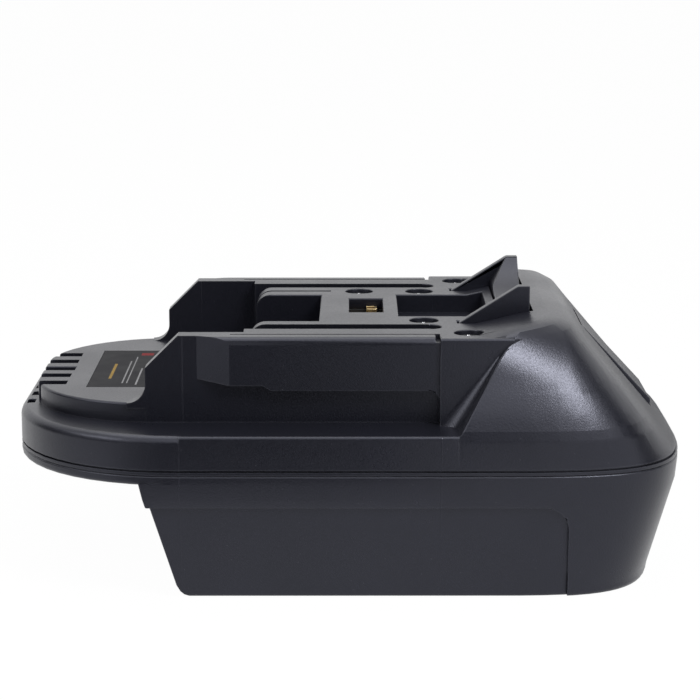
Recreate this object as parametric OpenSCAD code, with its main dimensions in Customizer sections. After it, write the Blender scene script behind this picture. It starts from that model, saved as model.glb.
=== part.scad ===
// Tool battery adapter: a slide-on housing that lets a battery of one system power a tool of another.
// The battery slides into the channel underneath, the tool's foot slides over the rails of the tower,
// and a sprung latch with two ramped fins holds the tool. Millimetres. X runs along the slide, Y across
// it and Z up. The origin lies under the middle of the outline, on the surface that the adapter rests on.

/* [Body] */
// Length over both ends
body_length = 126; // [120:1:134]
// Width over both sides
body_width = 86; // [84:1:94]
// Plan radius of the two corners at the vented flange
flange_corner_r = 31; // [26:1:36]
// Squareness of the rounded hood end, 2 for an ellipse and more for a squarer end
end_squareness = 4.2; // [3.4:0.1:5.4]
// Wall thickness of both shells
wall = 2.2; // [1.8:0.1:2.6]
// Running clearance between moving pieces
fit = 0.3; // [0.2:0.05:0.4]
// Clearance round a fixed piece in its seat
seat = 0.1; // [0.05:0.05:0.2]

/* [Heights] */
// Height of the battery channel under the flange
channel_h = 21.8; // [20:0.2:25]
// Height of the lower shell's band below the seam
band_h = 2.9; // [2.6:0.1:4]
// Height of the upper shell's rim above the seam
rim_h = 6.3; // [5.5:0.1:8]
// Distance of the rim's split line from the free end
rim_split = 32.3; // [28:0.1:36]
// Height of the raised tier above the deck
tier_h = 3.6; // [3:0.1:5]
// Height of the rail tower above the tier
tower_h = 12.7; // [12.2:0.1:16]
// Rise of the hood above the tower
hood_rise = 2.6; // [1.8:0.1:3.2]
// Height of the shadow line along the seam
seam_gap = 0.35; // [0.2:0.05:0.5]
// Depth of the shadow line along the seam
seam_depth = 0.5; // [0.3:0.1:0.8]
// Height of the bead below the shadow line
bead_h = 0.6; // [0.4:0.1:0.8]
// Depth of the fine line that sets the bead off
bead_line = 0.2; // [0.1:0.05:0.25]

/* [Flange] */
// Set-back of the raised tier from the flange end
tier_setback = 2.7; // [2.3:0.1:4]
// Plan radius of the raised tier's corners
tier_corner_r = 24; // [18:1:28]
// Number of vent slots
vent_count = 5; // [3:2:7]
// Distance between vent slots
vent_pitch = 6.6; // [5:0.1:7]
// Width of a vent slot
vent_w = 3.3; // [2:0.1:3.6]
// Length of a vent slot on the tier
vent_l = 6.1; // [4:0.1:7]
// Length of the notch that a vent slot leaves in the deck
vent_notch_l = 1.5; // [0.8:0.1:1.8]
// Depth of that notch
vent_notch_d = 1.2; // [0.6:0.1:1.4]
// Length of the label
label_l = 11.2; // [8:0.1:12]
// Width of the label
label_w = 34.6; // [26:0.1:40]
// Thickness of the label
label_t = 0.4; // [0.3:0.1:0.6]
// Distance from the flange end to the label
label_from_end = 13; // [12:0.1:14]

/* [Tower] */
// Half-width over the tower walls
wall_half = 31.3; // [30.6:0.1:33]
// X of the tower walls' free end
wall_x0 = -37.6; // [-40:0.1:-35]
// Thickness of a tower wall beside the bay
tower_wall = 3.6; // [3:0.1:4.2]
// Bevel on the free end of a tower wall
wall_bevel = 6.1; // [4:0.1:8]
// How far the rails stand out from the tower walls
rail_out = 2.1; // [1.5:0.1:2.8]
// X where the rails begin
rail_x0 = -28; // [-30:0.1:-26]
// Length of the rails' lead-in ramp
rail_lead = 6.1; // [4:0.1:8]
// Height of the rails
rail_h = 9.9; // [8:0.1:11]
// X where the rails run into the shoulder
shoulder_x = 16.8; // [15.6:0.1:17.4]
// How far the shoulder stands out from the tower walls
shoulder_out = 2.9; // [2.6:0.1:3.4]
// Half-width of the contact block between the walls
block_half = 20; // [19.6:0.1:21]
// X of the contact block's free end
block_x0 = -18.7; // [-20:0.1:-17]
// Width of the two channels beside the contact block
side_channel_w = 4.5; // [3.5:0.1:5]
// X of the side channels' closed end
side_channel_x1 = 17.4; // [15:0.1:18]

/* [Openings in the contact block] */
// X of the mouth's inner end
mouth_x1 = -5.6; // [-7:0.1:-5]
// Near edge of the mouth
mouth_y0 = -17; // [-17.4:0.1:-15]
// Far edge of the mouth
mouth_y1 = 11.5; // [10:0.1:12]
// Width of the keying slot beside the mouth
key_slot_w = 1.1; // [0.8:0.1:1.4]
// Y of the keying slot
key_slot_y = 15.9; // [15:0.1:16.4]
// X of the keying slot's closed end
key_slot_x1 = -3.6; // [-6:0.1:-3]
// X of the window's nearer end
window_x0 = 0.1; // [-0.5:0.1:1]
// Length of the window
window_l = 6.6; // [5:0.1:7]
// Width of the window
window_w = 15; // [12:0.1:16]
// X of the pocket's nearer end
pocket_x0 = 9.6; // [9.2:0.1:11]
// X of the pocket's farther end
pocket_x1 = 26.8; // [25:0.1:27]
// Half-width of the pocket
pocket_half = 11.7; // [9:0.1:11.9]
// Depth of the pocket
pocket_d = 3.7; // [2.5:0.1:4]

/* [Hood] */
// Half-width of the hood's top
hood_top_half = 34.2; // [33:0.1:35]
// X of the end slope's upper edge
hood_top_x = 43; // [42.4:0.1:44]
// X of the hood's front rim at the deck
hood_rim_x0 = 20.2; // [19.5:0.1:22]
// X of the hood's front rim at the top
hood_rim_x1 = 28.9; // [28:0.1:32]

/* [Latch] */
// Travel of the latch, which is also how far its fins stand above the tower
latch_travel = 7; // [5.5:0.1:7.4]
// Y of the fins
fin_y = 17.5; // [17:0.1:18]
// Thickness of a fin
fin_t = 2.2; // [1.8:0.1:2.6]
// X of the fins' tips
fin_tip_x = 20.9; // [20.7:0.1:21.4]
// X of the fins' backs
fin_back_x = 34.2; // [33:0.1:35]
// Length of the fins' flat tops
fin_flat = 2.2; // [1.6:0.1:3]
// Half-width of the thumb button
button_half = 8.4; // [7:0.1:10]
// X of the button's upper end
button_x0 = 45.3; // [45:0.1:47]
// X of the button's lower end
button_x1 = 58.7; // [56:0.1:59]
// How far the button's lower end stands proud of the slope
button_proud = 1.3; // [0.8:0.1:2]
// Thickness of the latch plate
latch_t = 2.6; // [2.2:0.1:3]
// X of the two springs
spring_x = 28; // [26.5:0.1:29.5]
// Y of the two springs
spring_y = 12; // [11:0.1:13]
// Outer diameter of a spring
spring_d = 8; // [7.6:0.1:8.6]
// Spring wire diameter
spring_wire = 0.8; // [0.6:0.1:0.9]
// Turns of a spring
spring_turns = 6; // [5:1:7]
// Diameter of the latch's guide pins
guide_d = 3; // [2.6:0.1:3.2]

/* [Battery channel] */
// Half-width of the channel
channel_half = 33.5; // [32:0.1:34.5]
// Half-width of the channel's mouth between the two lips
lip_half = 29; // [27:0.1:30]
// Height of the lips
lip_h = 4.5; // [3.5:0.1:6]
// X of the channel's closed end
channel_x1 = 45; // [43.6:0.1:46]
// X of the pocket for the battery's catch
catch_x0 = -55; // [-56:0.1:-53]
// Length of the catch pocket
catch_l = 5; // [4:0.1:6]
// Width of the catch pocket
catch_w = 18; // [12:0.5:22]
// Depth of the catch pocket
catch_d = 1.4; // [1:0.1:1.5]
// How much narrower each side is at the base
side_draft = 2.4; // [2:0.1:3.4]
// How much shorter the hood end is at the base
end_draft = 5.6; // [4:0.1:7]
// X of the battery end at the flange
battery_end_x = -38.2; // [-41:0.1:-36]
// How far the battery end leans in towards the base
battery_end_lean = 6.2; // [4:0.1:8]
// Depth of the side panels' recess
panel_d = 0.7; // [0.4:0.1:1]
// Height of the side panels' recess
panel_h = 17.5; // [14:0.1:18]
// X of the side panels' closed end
panel_x1 = 40.2; // [34:0.1:44]

/* [Contacts] */
// Thickness of the battery blades
blade_t = 0.8; // [0.6:0.1:1]
// Height of the battery blades
blade_h = 6; // [4:0.1:8]
// Length of the battery blades in front of their block
blade_l = 13; // [10:0.5:16]
// Y of the two power blades
blade_y = 21; // [19:0.1:23]
// Y of the two signal blades
signal_blade_y = 6; // [5:0.1:8]
// Thickness of the tool contacts' brass
contact_t = 0.5; // [0.4:0.1:0.7]
// Height of the tool contacts
contact_h = 7.6; // [6:0.1:8.4]
// Y of the positive tool contact
positive_y = 5.5; // [5:0.1:7]
// Y of the signal tool contact
signal_y = -3.5; // [-4.4:0.1:-2.6]
// Y of the negative tool contact
negative_y = -12.5; // [-13:0.1:-11.5]

/* [Board] */
// Length of the circuit board
board_l = 32; // [28:0.5:33]
// Width of the circuit board
board_w = 40; // [38:0.5:41]
// Thickness of the circuit board
board_t = 1.4; // [1:0.1:1.6]
// X of the board's end nearer the tower
board_x1 = -23; // [-24:0.1:-22]
// Diameter of the power leads
lead_d = 2.4; // [2:0.1:2.6]

/* [Screws] */
// Head diameter of the housing screws
screw_head_d = 5; // [4.6:0.1:5.2]
// Head height of the housing screws
screw_head_h = 1.2; // [1:0.1:1.4]
// Depth of the top's screw heads below the top
head_sink = 0.6; // [0.3:0.1:0.6]
// Shank diameter of the housing screws
screw_d = 2.4; // [2:0.1:2.6]
// Depth of the cross in a screw head
cross_depth = 0.8; // [0.5:0.1:1]
// X of the screw beside the window
window_screw_x = 2.1; // [1.5:0.1:2.6]
// X of the two screws beside the pocket
pocket_screw_x = 14.3; // [13.6:0.1:15]
// Y of the screws in the contact block
block_screw_y = 15.8; // [15.5:0.1:15.9]
// X of the two hood screws
hood_screw_x = 22.3; // [22.1:0.1:23]
// Y of the two hood screws
hood_screw_y = 28.2; // [27:0.1:28.6]
// X of the two flange screws
flange_screw_x = -47; // [-48:0.1:-44]
// Y of the two flange screws
flange_screw_y = 28.5; // [26:0.1:29]

/* [Hidden] */
$fn = 48;
half_l = body_length / 2;
half_w = body_width / 2;
seam_z = channel_h + band_h;
deck_z = seam_z + rim_h;
rim_split_x = rim_split - half_l;
tier_z = deck_z + tier_h;
tower_z = tier_z + tower_h;
skin_z = tower_z - wall;
hood_z = tower_z + hood_rise;
floor_z = channel_h + wall;
fin_top_z = tower_z + latch_travel;
over = 1;

// Plan outlines: the hood end is a superellipse about end_x, the flange end has two round corners.
end_x = 20;
end_lead = 0.3;
end_steps = 36;
corner_steps = 12;
function signed_power(v, p) = sign(v) * pow(abs(v), p);
function end_curve(x, reach, half, n) = [
    for (i = [0 : end_steps])
        let (t = -90 + 180 * i / end_steps)
        [x + reach * signed_power(cos(t), 2 / n), half * signed_power(sin(t), 2 / n)]
];
function round_corner(x, y, r, from) = [
    for (i = [0 : corner_steps])
        let (t = from + 90 * i / corner_steps)
        [x + r * cos(t), y + r * sin(t)]
];
function flange_end(x0, half, r, inset) = concat(
    round_corner(x0 + r, half - r, r - inset, 90),
    round_corner(x0 + r, r - half, r - inset, 180)
);
function rim_outline(inset) = concat(
    end_curve(end_x, half_l - end_x - inset, half_w - inset, end_squareness),
    flange_end(-half_l, half_w, flange_corner_r, inset)
);
function flange_outline(inset) = concat(
    [[end_x, inset - half_w], [end_x, half_w - inset]],
    flange_end(-half_l, half_w, flange_corner_r, inset)
);
function tier_outline(inset) = concat(
    [[shoulder_x + over, inset - wall_half], [shoulder_x + over, wall_half - inset]],
    flange_end(tier_setback - half_l, wall_half, tier_corner_r, inset)
);
function squared_end(x0, x1, half, n) =
    let (x = max(x0 + end_lead, end_x))
    concat(end_curve(x, x1 - x, half, n), [[x0, half], [x0, -half]]);
function ring(points, z) = [for (p = points) [p[0], p[1], z]];

// A solid through a stack of plan outlines that have the same number of points, lowest first. The top is one
// flat face, or the strips that are given for a top that isn't flat.
module loft(rings, strips = []) {
    n = len(rings[0]);
    last = (len(rings) - 1) * n;
    top = len(strips) > 0 ? strips : [[for (i = [n - 1 : -1 : 0]) i]];
    polyhedron(
        points = [for (r = rings, p = r) p],
        faces = concat(
            [[for (i = [0 : n - 1]) i]],
            [for (t = top) [for (i = t) last + i]],
            [
                for (j = [0 : len(rings) - 2], i = [0 : n - 1])
                    let (k = (i + 1) % n, low = j * n, high = low + n)
                    [low + i, high + i, high + k, low + k]
            ]
        )
    );
}
// Strips across a squared end's outline, from the front to the tip of the curve.
squared_end_strips = concat(
    [[end_steps + 1, end_steps, 0, end_steps + 2]],
    [
        for (i = [0 : end_steps / 2 - 2])
            [end_steps - i, end_steps - i - 1, i + 1, i]
    ],
    [[end_steps / 2 + 1, end_steps / 2, end_steps / 2 - 1]]
);

// A box from one corner to the other.
module box(low, high) {
    translate(low) cube(high - low);
}

// The same shape on both sides of the middle plane.
module both_sides() {
    children();
    mirror([0, 1, 0]) children();
}

// A side profile in X and Z, carried across from y0 to y1.
module across(y0, y1) {
    translate([0, y1, 0]) rotate([90, 0, 0]) linear_extrude(y1 - y0) children();
}

// A cross profile in Y and Z, carried along from x0 to x1.
module along(x0, x1) {
    translate([x0, 0, 0]) rotate([90, 0, 90]) linear_extrude(x1 - x0) children();
}

// A round edge on a lofted slab: [inset, drop] pairs of a quarter circle of radius r.
edge_steps = 4;
function edge_round(r) = [
    for (i = [0 : edge_steps])
        let (t = 90 * i / edge_steps)
        [r * (1 - cos(t)), r * (1 - sin(t))]
];

// Tubes for the leads and springs: a round section carried along a path.
function unit(v) = v / norm(v);
function path_tangent(p, i) = unit(p[min(i + 1, len(p) - 1)] - p[max(i - 1, 0)]);
function tube_ring(p, i, r, sides, up) =
    let (t = path_tangent(p, i), u = unit(cross(up, t)), v = cross(t, u))
    [for (s = [0 : sides - 1]) p[i] + r * (cos(360 * s / sides) * u + sin(360 * s / sides) * v)];
module tube(path, d, sides, up) {
    n = sides;
    last = (len(path) - 1) * n;
    polyhedron(
        points = [for (i = [0 : len(path) - 1], q = tube_ring(path, i, d / 2, sides, up)) q],
        faces = concat(
            [[for (i = [0 : n - 1]) i]],
            [[for (i = [n - 1 : -1 : 0]) last + i]],
            [
                for (j = [0 : len(path) - 2], i = [0 : n - 1], half = [0, 1])
                    let (k = (i + 1) % n, low = j * n, high = low + n)
                    half == 0 ? [low + i, high + i, high + k] : [low + i, high + k, low + k]
            ]
        )
    );
}
// A smooth run through a lead's points, four steps to a stretch.
lead_steps = 4;
function spline(p, i, t) =
    let (
        a = p[max(i - 1, 0)], b = p[i],
        c = p[i + 1], d = p[min(i + 2, len(p) - 1)]
    )
    0.5 * (2 * b + (c - a) * t + (2 * a - 5 * b + 4 * c - d) * t * t
        + (3 * b - a - 3 * c + d) * t * t * t);
function smooth(p) = concat(
    [for (i = [0 : len(p) - 2], s = [0 : lead_steps - 1]) spline(p, i, s / lead_steps)],
    [p[len(p) - 1]]
);

// Hood: each row is a plan outline that may rise from the front to the end. A row has its height at the end,
// its farthest X, half-width and squareness, and its height at the front. Rows run from the seam to the top.
slope_foot_z = seam_z + 0.7;
slope_foot_x = half_l - 1.1;
slope_top_z = tower_z - 1.7;
slope_top_x = hood_top_x + 1.6;
side_foot_z = seam_z + 4.9;
top_squareness = 6;
hood_x0 = shoulder_x;
slope_run = (slope_top_x - slope_foot_x) / (slope_top_z - slope_foot_z);
function slope_x(z) = slope_foot_x + slope_run * (z - slope_foot_z);
function slope_z(x) = slope_foot_z + (x - slope_foot_x) / slope_run;
function level_row(z, x1, half, n) = [z, x1, half, n, z];
foot_rows = [
    level_row(seam_z, half_l - 0.3, half_w, end_squareness),
    level_row(seam_z + 0.5, slope_x(seam_z + 0.5), half_w, end_squareness),
    level_row(side_foot_z, slope_x(side_foot_z), half_w - 0.2, end_squareness + 0.6),
    level_row(side_foot_z + 2.2, slope_x(side_foot_z + 2.2), half_w - 0.75, end_squareness + 0.8),
    level_row(side_foot_z + 8.4, slope_x(side_foot_z + 8.4), half_w - 3.7, end_squareness + 1)
];
top_rows = [
    level_row(slope_top_z, slope_top_x, hood_top_half + 0.7, top_squareness),
    [hood_z - 1.6, hood_top_x - 0.6, hood_top_half, top_squareness, slope_top_z + 0.2],
    [hood_z - 0.5, hood_top_x - 2.6, hood_top_half - 1.2, top_squareness, slope_top_z + 0.4],
    [hood_z, hood_top_x - 5.4, hood_top_half - 3.6, top_squareness, slope_top_z + 0.6]
];
// Slant factors that keep the hood's wall one thickness on its end slope and on its sides.
end_slant = 1.33;
side_slant = 1.12;
hood_cavity_x0 = shoulder_x + wall + 0.2;
function ease(t) = t * t * (3 - 2 * t);
function row_z(row, x) = row[4] + (row[0] - row[4]) * ease((x - hood_x0) / (row[1] - hood_x0));
function hood_ring(row, x0, inset, drop) = [
    for (p = squared_end(x0, row[1] - end_slant * inset, row[2] - side_slant * inset, row[3]))
        [p[0], p[1], row_z(row, p[0]) - drop]
];
module hood_solid() {
    loft([for (row = concat(foot_rows, top_rows)) hood_ring(row, hood_x0, 0, 0)], squared_end_strips);
}
module hood_cavity() {
    loft(concat(
        [hood_ring(foot_rows[0], hood_cavity_x0, wall, over)],
        [for (i = [1 : len(foot_rows) - 1]) hood_ring(foot_rows[i], hood_cavity_x0, wall, 0)],
        [for (row = top_rows) hood_ring(row, hood_cavity_x0, wall, wall)]
    ), squared_end_strips);
}
// The space beside the shoulder that the tool's foot slides along, as far as the hood's leaning rim.
shoulder_half = wall_half + shoulder_out;
rim_top_z = tower_z - 1;
rim_run = (hood_rim_x1 - hood_rim_x0) / (rim_top_z - deck_z);
rim_bend = [[-2.4 * rim_run, -2.4], [-0.4, -1.1], [0.8, -0.1], [2.8, 0.9], [5, 1.8], [10, 2.6]];
function rim_line(shift) = [for (p = rim_bend) [hood_rim_x1 + p[0] + shift, rim_top_z + p[1]]];
module foot_space(grow) {
    both_sides()
        across(shoulder_half - grow, half_w + 2 * over)
            polygon(concat(
                [[-half_l, deck_z - grow], [hood_rim_x0 + grow, deck_z - grow]],
                rim_line(1.3 * grow),
                [[hood_rim_x1 + 10 + 1.3 * grow, hood_z + over], [-half_l, hood_z + over]]
            ));
}

// The round inner corner between the shoulder and the hood's leaning rim, which tapers out below the bend.
module rim_fillet() {
    r = 4;
    crease = 7;
    reach = r * cos(crease);
    below = 3;
    rise = rim_top_z + rim_bend[0][1] - deck_z;
    lean = atan(rim_run);
    both_sides()
        translate([hood_rim_x0, shoulder_half, deck_z])
            rotate([0, lean, 0])
                translate([0, 0, -below])
                    linear_extrude(rise / cos(lean) + below, scale = 0.1)
                        difference() {
                            translate([-reach, -over]) square(reach + over);
                            translate([-reach, reach]) circle(r);
                        }
}

// Latch: a plate under the top carries the fins, their saddle, the button and two guide pins.
plate_top_z = tower_z - pocket_d - wall - fit;
plate_z = plate_top_z - latch_t;
fin_half = fin_y + fin_t / 2;
saddle_x0 = 28.8;
saddle_low_z = tower_z + 1.3;
saddle_r = 27;
latch_plate_half = 20;
latch_plate_x0 = fin_tip_x - 0.6;
latch_plate_x1 = fin_back_x + 1.8;
link_half = button_half - 2;
link_x1 = slope_x(plate_top_z) - 0.6;
post_d = spring_d - 2 * spring_wire - 2 * fit;
post_z = plate_z - latch_travel - 2 * fit;
guide_end_z = post_z - 0.8;
bore_end_z = guide_end_z - latch_travel - fit;
bore_d = guide_d + 2 * fit;

// Blocks and contacts.
block_wall = 2;
contact_x0 = mouth_x1 + block_wall;
tool_block_half = block_half - block_wall - seat;
tool_block_z = floor_z + 7.2;
tool_block_x1 = pocket_x0 - 1.5 - seat;
ear_x1 = pocket_screw_x + 4;
ear_inner = pocket_half + 1.5 + seat;
contact_z = tool_block_z + 5;
contact_inner = 1.3;
contact_x1 = contact_x0 + 9.2;
contact_tail_z = floor_z + 4.4;
battery_block_l = 9;
battery_block_half = 26;
battery_block_z = 7.5;
blade_z = 11.5;
tail_w = 3;
tail_x1 = channel_x1 - 3;
tail_top_z = floor_z + 4;

// Board and what stands on it.
standoff_h = 1;
board_z = floor_z + standoff_h;
board_top_z = board_z + board_t;
board_x0 = board_x1 - board_l;
board_screw_inset = 4;
board_screw_y = board_w / 2 - 6;
board_screw_d = 1.8;
lead_z = board_top_z + lead_d / 2 + seat;
board_screws_at = [
    for (x = [board_x0 + board_screw_inset, board_x1 - board_screw_inset], s = [-1, 1]) [x, s * board_screw_y]
];
flange_screws_at = [[flange_screw_x, flange_screw_y], [flange_screw_x, -flange_screw_y]];
hood_screws_at = [[hood_screw_x, hood_screw_y], [hood_screw_x, -hood_screw_y]];
tower_screws_at = [
    [window_screw_x, block_screw_y],
    [pocket_screw_x, block_screw_y],
    [pocket_screw_x, -block_screw_y]
];
springs_at = [[spring_x, spring_y], [spring_x, -spring_y]];
boss_d = 5.2;
head_gap = 0.25;
pilot_d = screw_d + 2 * seat;

// Upper housing: outside forms
// The rim's top edge is softly round at the free end, and crisp from the mould's split line on.
module flange_part(edge, x0, x1) {
    intersection() {
        loft(concat(
            [ring(flange_outline(0), seam_z)],
            [for (e = edge_round(edge)) ring(flange_outline(e[0]), deck_z - e[1])]
        ));
        box([x0, -half_w - over, seam_z - over], [x1, half_w + over, deck_z + over]);
    }
}
module flange_slab() {
    flange_part(1.6, -half_l - over, rim_split_x + over);
    flange_part(0.6, rim_split_x, half_l);
}
module tier_slab() {
    edge = 0.5;
    loft(concat(
        [ring(tier_outline(0), seam_z + wall)],
        [for (e = edge_round(edge)) ring(tier_outline(e[0]), tier_z - e[1])]
    ));
}
module tower_wall_profile() {
    foot_r = 3.5;
    polygon([
        [wall_x0, deck_z],
        [wall_x0, tower_z - wall_bevel],
        [wall_x0 + wall_bevel, tower_z],
        [hood_rim_x1, tower_z],
        [hood_rim_x1, deck_z]
    ]);
    difference() {
        translate([wall_x0 - foot_r, tier_z - over]) square([foot_r + over, foot_r + over]);
        translate([wall_x0 - foot_r, tier_z + foot_r]) circle(foot_r);
    }
}
module tower_walls() {
    inner_x0 = block_x0 - 0.8;
    inner_half = block_half + side_channel_w;
    both_sides() {
        across(wall_half - tower_wall, wall_half) tower_wall_profile();
        box([inner_x0, inner_half, deck_z], [hood_rim_x1, wall_half, tower_z]);
    }
    box(
        [side_channel_x1 - side_channel_w, -inner_half - over, deck_z],
        [hood_rim_x1, inner_half + over, tower_z]
    );
}
module rails() {
    low_z = tower_z - rail_h;
    step = 0.9;
    both_sides() {
        difference() {
            across(wall_half - over, wall_half + rail_out)
                polygon([
                    [rail_x0, low_z + 2 * step],
                    [rail_x0 + rail_lead, low_z + step],
                    [rail_x0 + 2 * rail_lead, low_z + step],
                    [rail_x0 + 2 * rail_lead + 1.5, low_z],
                    [shoulder_x + over, low_z],
                    [shoulder_x + over, tower_z],
                    [rail_x0, tower_z]
                ]);
            translate([rail_x0, wall_half, low_z - over])
                rotate([0, 0, atan(rail_out / rail_lead)])
                    box([-over, 0, 0], [2 * rail_lead, 2 * rail_out, rail_h + 2 * over]);
        }
    }
}
module shoulders() {
    corner_r = 2.2;
    low_z = tower_z - rail_h;
    both_sides() {
        across(wall_half - over, shoulder_half)
            polygon(concat(
                [[shoulder_x, deck_z - wall], [hood_rim_x0, deck_z - wall]],
                [for (i = [0 : 3]) rim_line(0)[i]],
                [[rim_line(0)[3][0], tower_z], [shoulder_x, tower_z]]
            ));
        across(wall_half - over, wall_half + rail_out)
            difference() {
                translate([shoulder_x - corner_r, low_z - corner_r]) square(corner_r + over);
                translate([shoulder_x - corner_r, low_z - corner_r]) circle(corner_r);
                translate([shoulder_x - corner_r - over, low_z - corner_r - over])
                    square([corner_r + over, over]);
            }
    }
}
module contact_block() {
    end_r = 3;
    across(-block_half, block_half) {
        translate([block_x0, deck_z]) square([hood_rim_x1 - block_x0, tower_z - end_r - deck_z]);
        translate([block_x0 + end_r, deck_z]) square([hood_rim_x1 - block_x0 - end_r, tower_z - deck_z]);
        translate([block_x0 + end_r, tower_z - end_r]) circle(end_r);
    }
}
// Material round the pocket that hangs below the top skin.
module pocket_walls() {
    rim = 1.5;
    box(
        [pocket_x0 - rim, -pocket_half - rim, tower_z - pocket_d - wall],
        [pocket_x1 + rim, pocket_half + rim, tower_z]
    );
}

// Upper housing: hollows and cut-outs
module side_channels() {
    end_r = side_channel_w / 2;
    y = block_half + end_r;
    both_sides()
        translate([0, 0, tier_z]) linear_extrude(tower_z) {
            translate([block_x0 - 2 * over, block_half])
                square([side_channel_x1 - end_r - block_x0 + 2 * over, side_channel_w]);
            translate([side_channel_x1 - end_r, y]) circle(end_r);
        }
}
// Round top edges of the rails and shoulders, the groove along the rails' tops, and the notch at its end.
module round_edge(x0, x1, y, z, r) {
    along(x0, x1)
        difference() {
            translate([y - r, z - r]) square(r + over);
            translate([y - r, z - r]) circle(r);
        }
}
module rail_details() {
    rail_edge = 1.4;
    shoulder_edge = 0.6;
    groove_w = 0.6;
    groove_d = 0.5;
    groove_y = wall_half - 1.8;
    groove_x0 = rail_x0 + rail_lead;
    notch_l = 0.8;
    notch_d = 0.9;
    both_sides() {
        round_edge(rail_x0 - over, shoulder_x - notch_l, wall_half + rail_out, tower_z, rail_edge);
        round_edge(shoulder_x - over, hood_rim_x1 + 1.5, shoulder_half, tower_z, shoulder_edge);
        box([groove_x0, groove_y, tower_z - groove_d], [shoulder_x, groove_y + groove_w, tower_z + over]);
        box(
            [shoulder_x - notch_l, groove_y, tower_z - notch_d],
            [shoulder_x, wall_half + rail_out + over, tower_z + over]
        );
    }
}
// Slots through the tier's top and end, each with a notch in the deck at the tier's foot.
module vents() {
    tier_x0 = tier_setback - half_l;
    for (i = [0 : vent_count - 1])
        translate([tier_x0, (i - (vent_count - 1) / 2) * vent_pitch - vent_w / 2, 0]) {
            box([-vent_notch_l, 0, deck_z], [vent_l, vent_w, tier_z + over]);
            box([-vent_notch_l, 0, deck_z - vent_notch_d], [0, vent_w, tier_z]);
        }
}
module block_openings() {
    box([block_x0 - over, mouth_y0, tier_z], [mouth_x1, mouth_y1, tower_z + over]);
    box(
        [block_x0 - over, key_slot_y - key_slot_w / 2, tier_z],
        [key_slot_x1, key_slot_y + key_slot_w / 2, tower_z + over]
    );
    for (y = [positive_y, signal_y, negative_y])
        box(
            [mouth_x1 - over, y - contact_inner, contact_z],
            [contact_x0 + over, y + contact_inner, skin_z - over]
        );
    box([window_x0, -window_w / 2, skin_z - over], [window_x0 + window_l, window_w / 2, tower_z + over]);
    box([pocket_x0, -pocket_half, tower_z - pocket_d], [pocket_x1, pocket_half, tower_z + over]);
}
module latch_openings() {
    both_sides()
        box(
            [fin_tip_x - fit, fin_y - fin_t / 2 - fit, plate_top_z],
            [fin_back_x + 2 * fit, fin_half + fit, hood_z + over]
        );
    box(
        [saddle_x0 - fit, -fin_half - fit, plate_top_z],
        [fin_back_x + 2 * fit, fin_half + fit, hood_z + over]
    );
    box([button_x0 - fit, -button_half - fit, seam_z], [button_x1 + fit, button_half + fit, hood_z + over]);
    box([latch_plate_x1, -link_half - fit, seam_z], [button_x0, link_half + fit, plate_top_z + fit]);
}
module screw_seat(z, grip) {
    translate([0, 0, z - screw_head_h - head_sink])
        cylinder(d = screw_head_d + 2 * head_gap, h = wall + over);
    translate([0, 0, z - grip]) cylinder(d = pilot_d, h = grip);
}
module shell_hollows() {
    block_hollow_half = block_half - block_wall;
    difference() {
        union() {
            translate([0, 0, seam_z - over])
                linear_extrude(rim_h - wall + over) polygon(flange_outline(wall));
            translate([0, 0, seam_z])
                linear_extrude(rim_h + tier_h - wall) polygon(tier_outline(wall));
            box([contact_x0, -block_hollow_half, seam_z], [hood_cavity_x0 + over, block_hollow_half, skin_z]);
            difference() {
                hood_cavity();
                foot_space(wall);
            }
            both_sides()
                box(
                    [block_x0 + wall, block_half + side_channel_w + wall, seam_z],
                    [shoulder_x - wall, wall_half - wall, skin_z]
                );
            for (p = hood_screws_at)
                translate([p[0], p[1], seam_z]) cylinder(d = boss_d + 2 * seat, h = skin_z - seam_z);
        }
        pocket_walls();
        for (p = flange_screws_at)
            translate([p[0], p[1], 0]) cylinder(d = boss_d + 1, h = deck_z);
    }
}
module upper_housing() {
    color([0.15, 0.16, 0.19])
        difference() {
            union() {
                flange_slab();
                tier_slab();
                tower_walls();
                rails();
                shoulders();
                contact_block();
                difference() {
                    hood_solid();
                    difference() {
                        foot_space(0);
                        rim_fillet();
                    }
                }
                for (p = flange_screws_at)
                    translate([p[0], p[1], floor_z]) cylinder(d = boss_d + 1, h = seam_z - floor_z + over);
            }
            shell_hollows();
            side_channels();
            rail_details();
            vents();
            block_openings();
            latch_openings();
            for (p = tower_screws_at)
                translate([p[0], p[1], 0]) screw_seat(tower_z, wall + over);
            for (p = hood_screws_at)
                translate([p[0], p[1], 0]) screw_seat(tower_z, wall + over);
            for (p = flange_screws_at)
                translate([p[0], p[1], floor_z - over]) cylinder(d = pilot_d, h = rim_h - 0.6);
            translate([label_from_end - half_l - seat, -label_w / 2 - seat, tier_z - label_t])
                cube([label_l + 2 * seat, label_w + 2 * seat, label_t + over]);
        }
}

// Lower housing: rows of height, nearest X, farthest X and half-width, from the base to the flange.
base_edge = 0.4;
base_lift = 2.2;
band_edge = 0.5;
base_x0 = battery_end_x + battery_end_lean;
base_x1 = half_l - end_draft;
base_half = half_w - side_draft;
body_rows = [
    [0, base_x0 + 1.9, base_x1 - base_edge, base_half - base_edge],
    [base_edge, base_x0 + 1, base_x1, base_half],
    [1, base_x0 + 0.3, base_x1 + 0.2, base_half + 0.05],
    [base_lift, base_x0 - 0.4, base_x1 + 0.4, base_half + 0.15],
    [channel_h - 2.6, battery_end_x + 0.7, half_l - 0.3, half_w - 0.2],
    [channel_h + band_edge, battery_end_x, half_l, half_w]
];
module battery_body(inset, lift) {
    loft([
        for (i = [0 : len(body_rows) - 1])
            let (r = body_rows[i])
            ring(
                squared_end(r[1] + inset, r[2] - inset, r[3] - inset, end_squareness),
                r[0] + lift * (1 - i / (len(body_rows) - 1))
            )
    ]);
}
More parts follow.
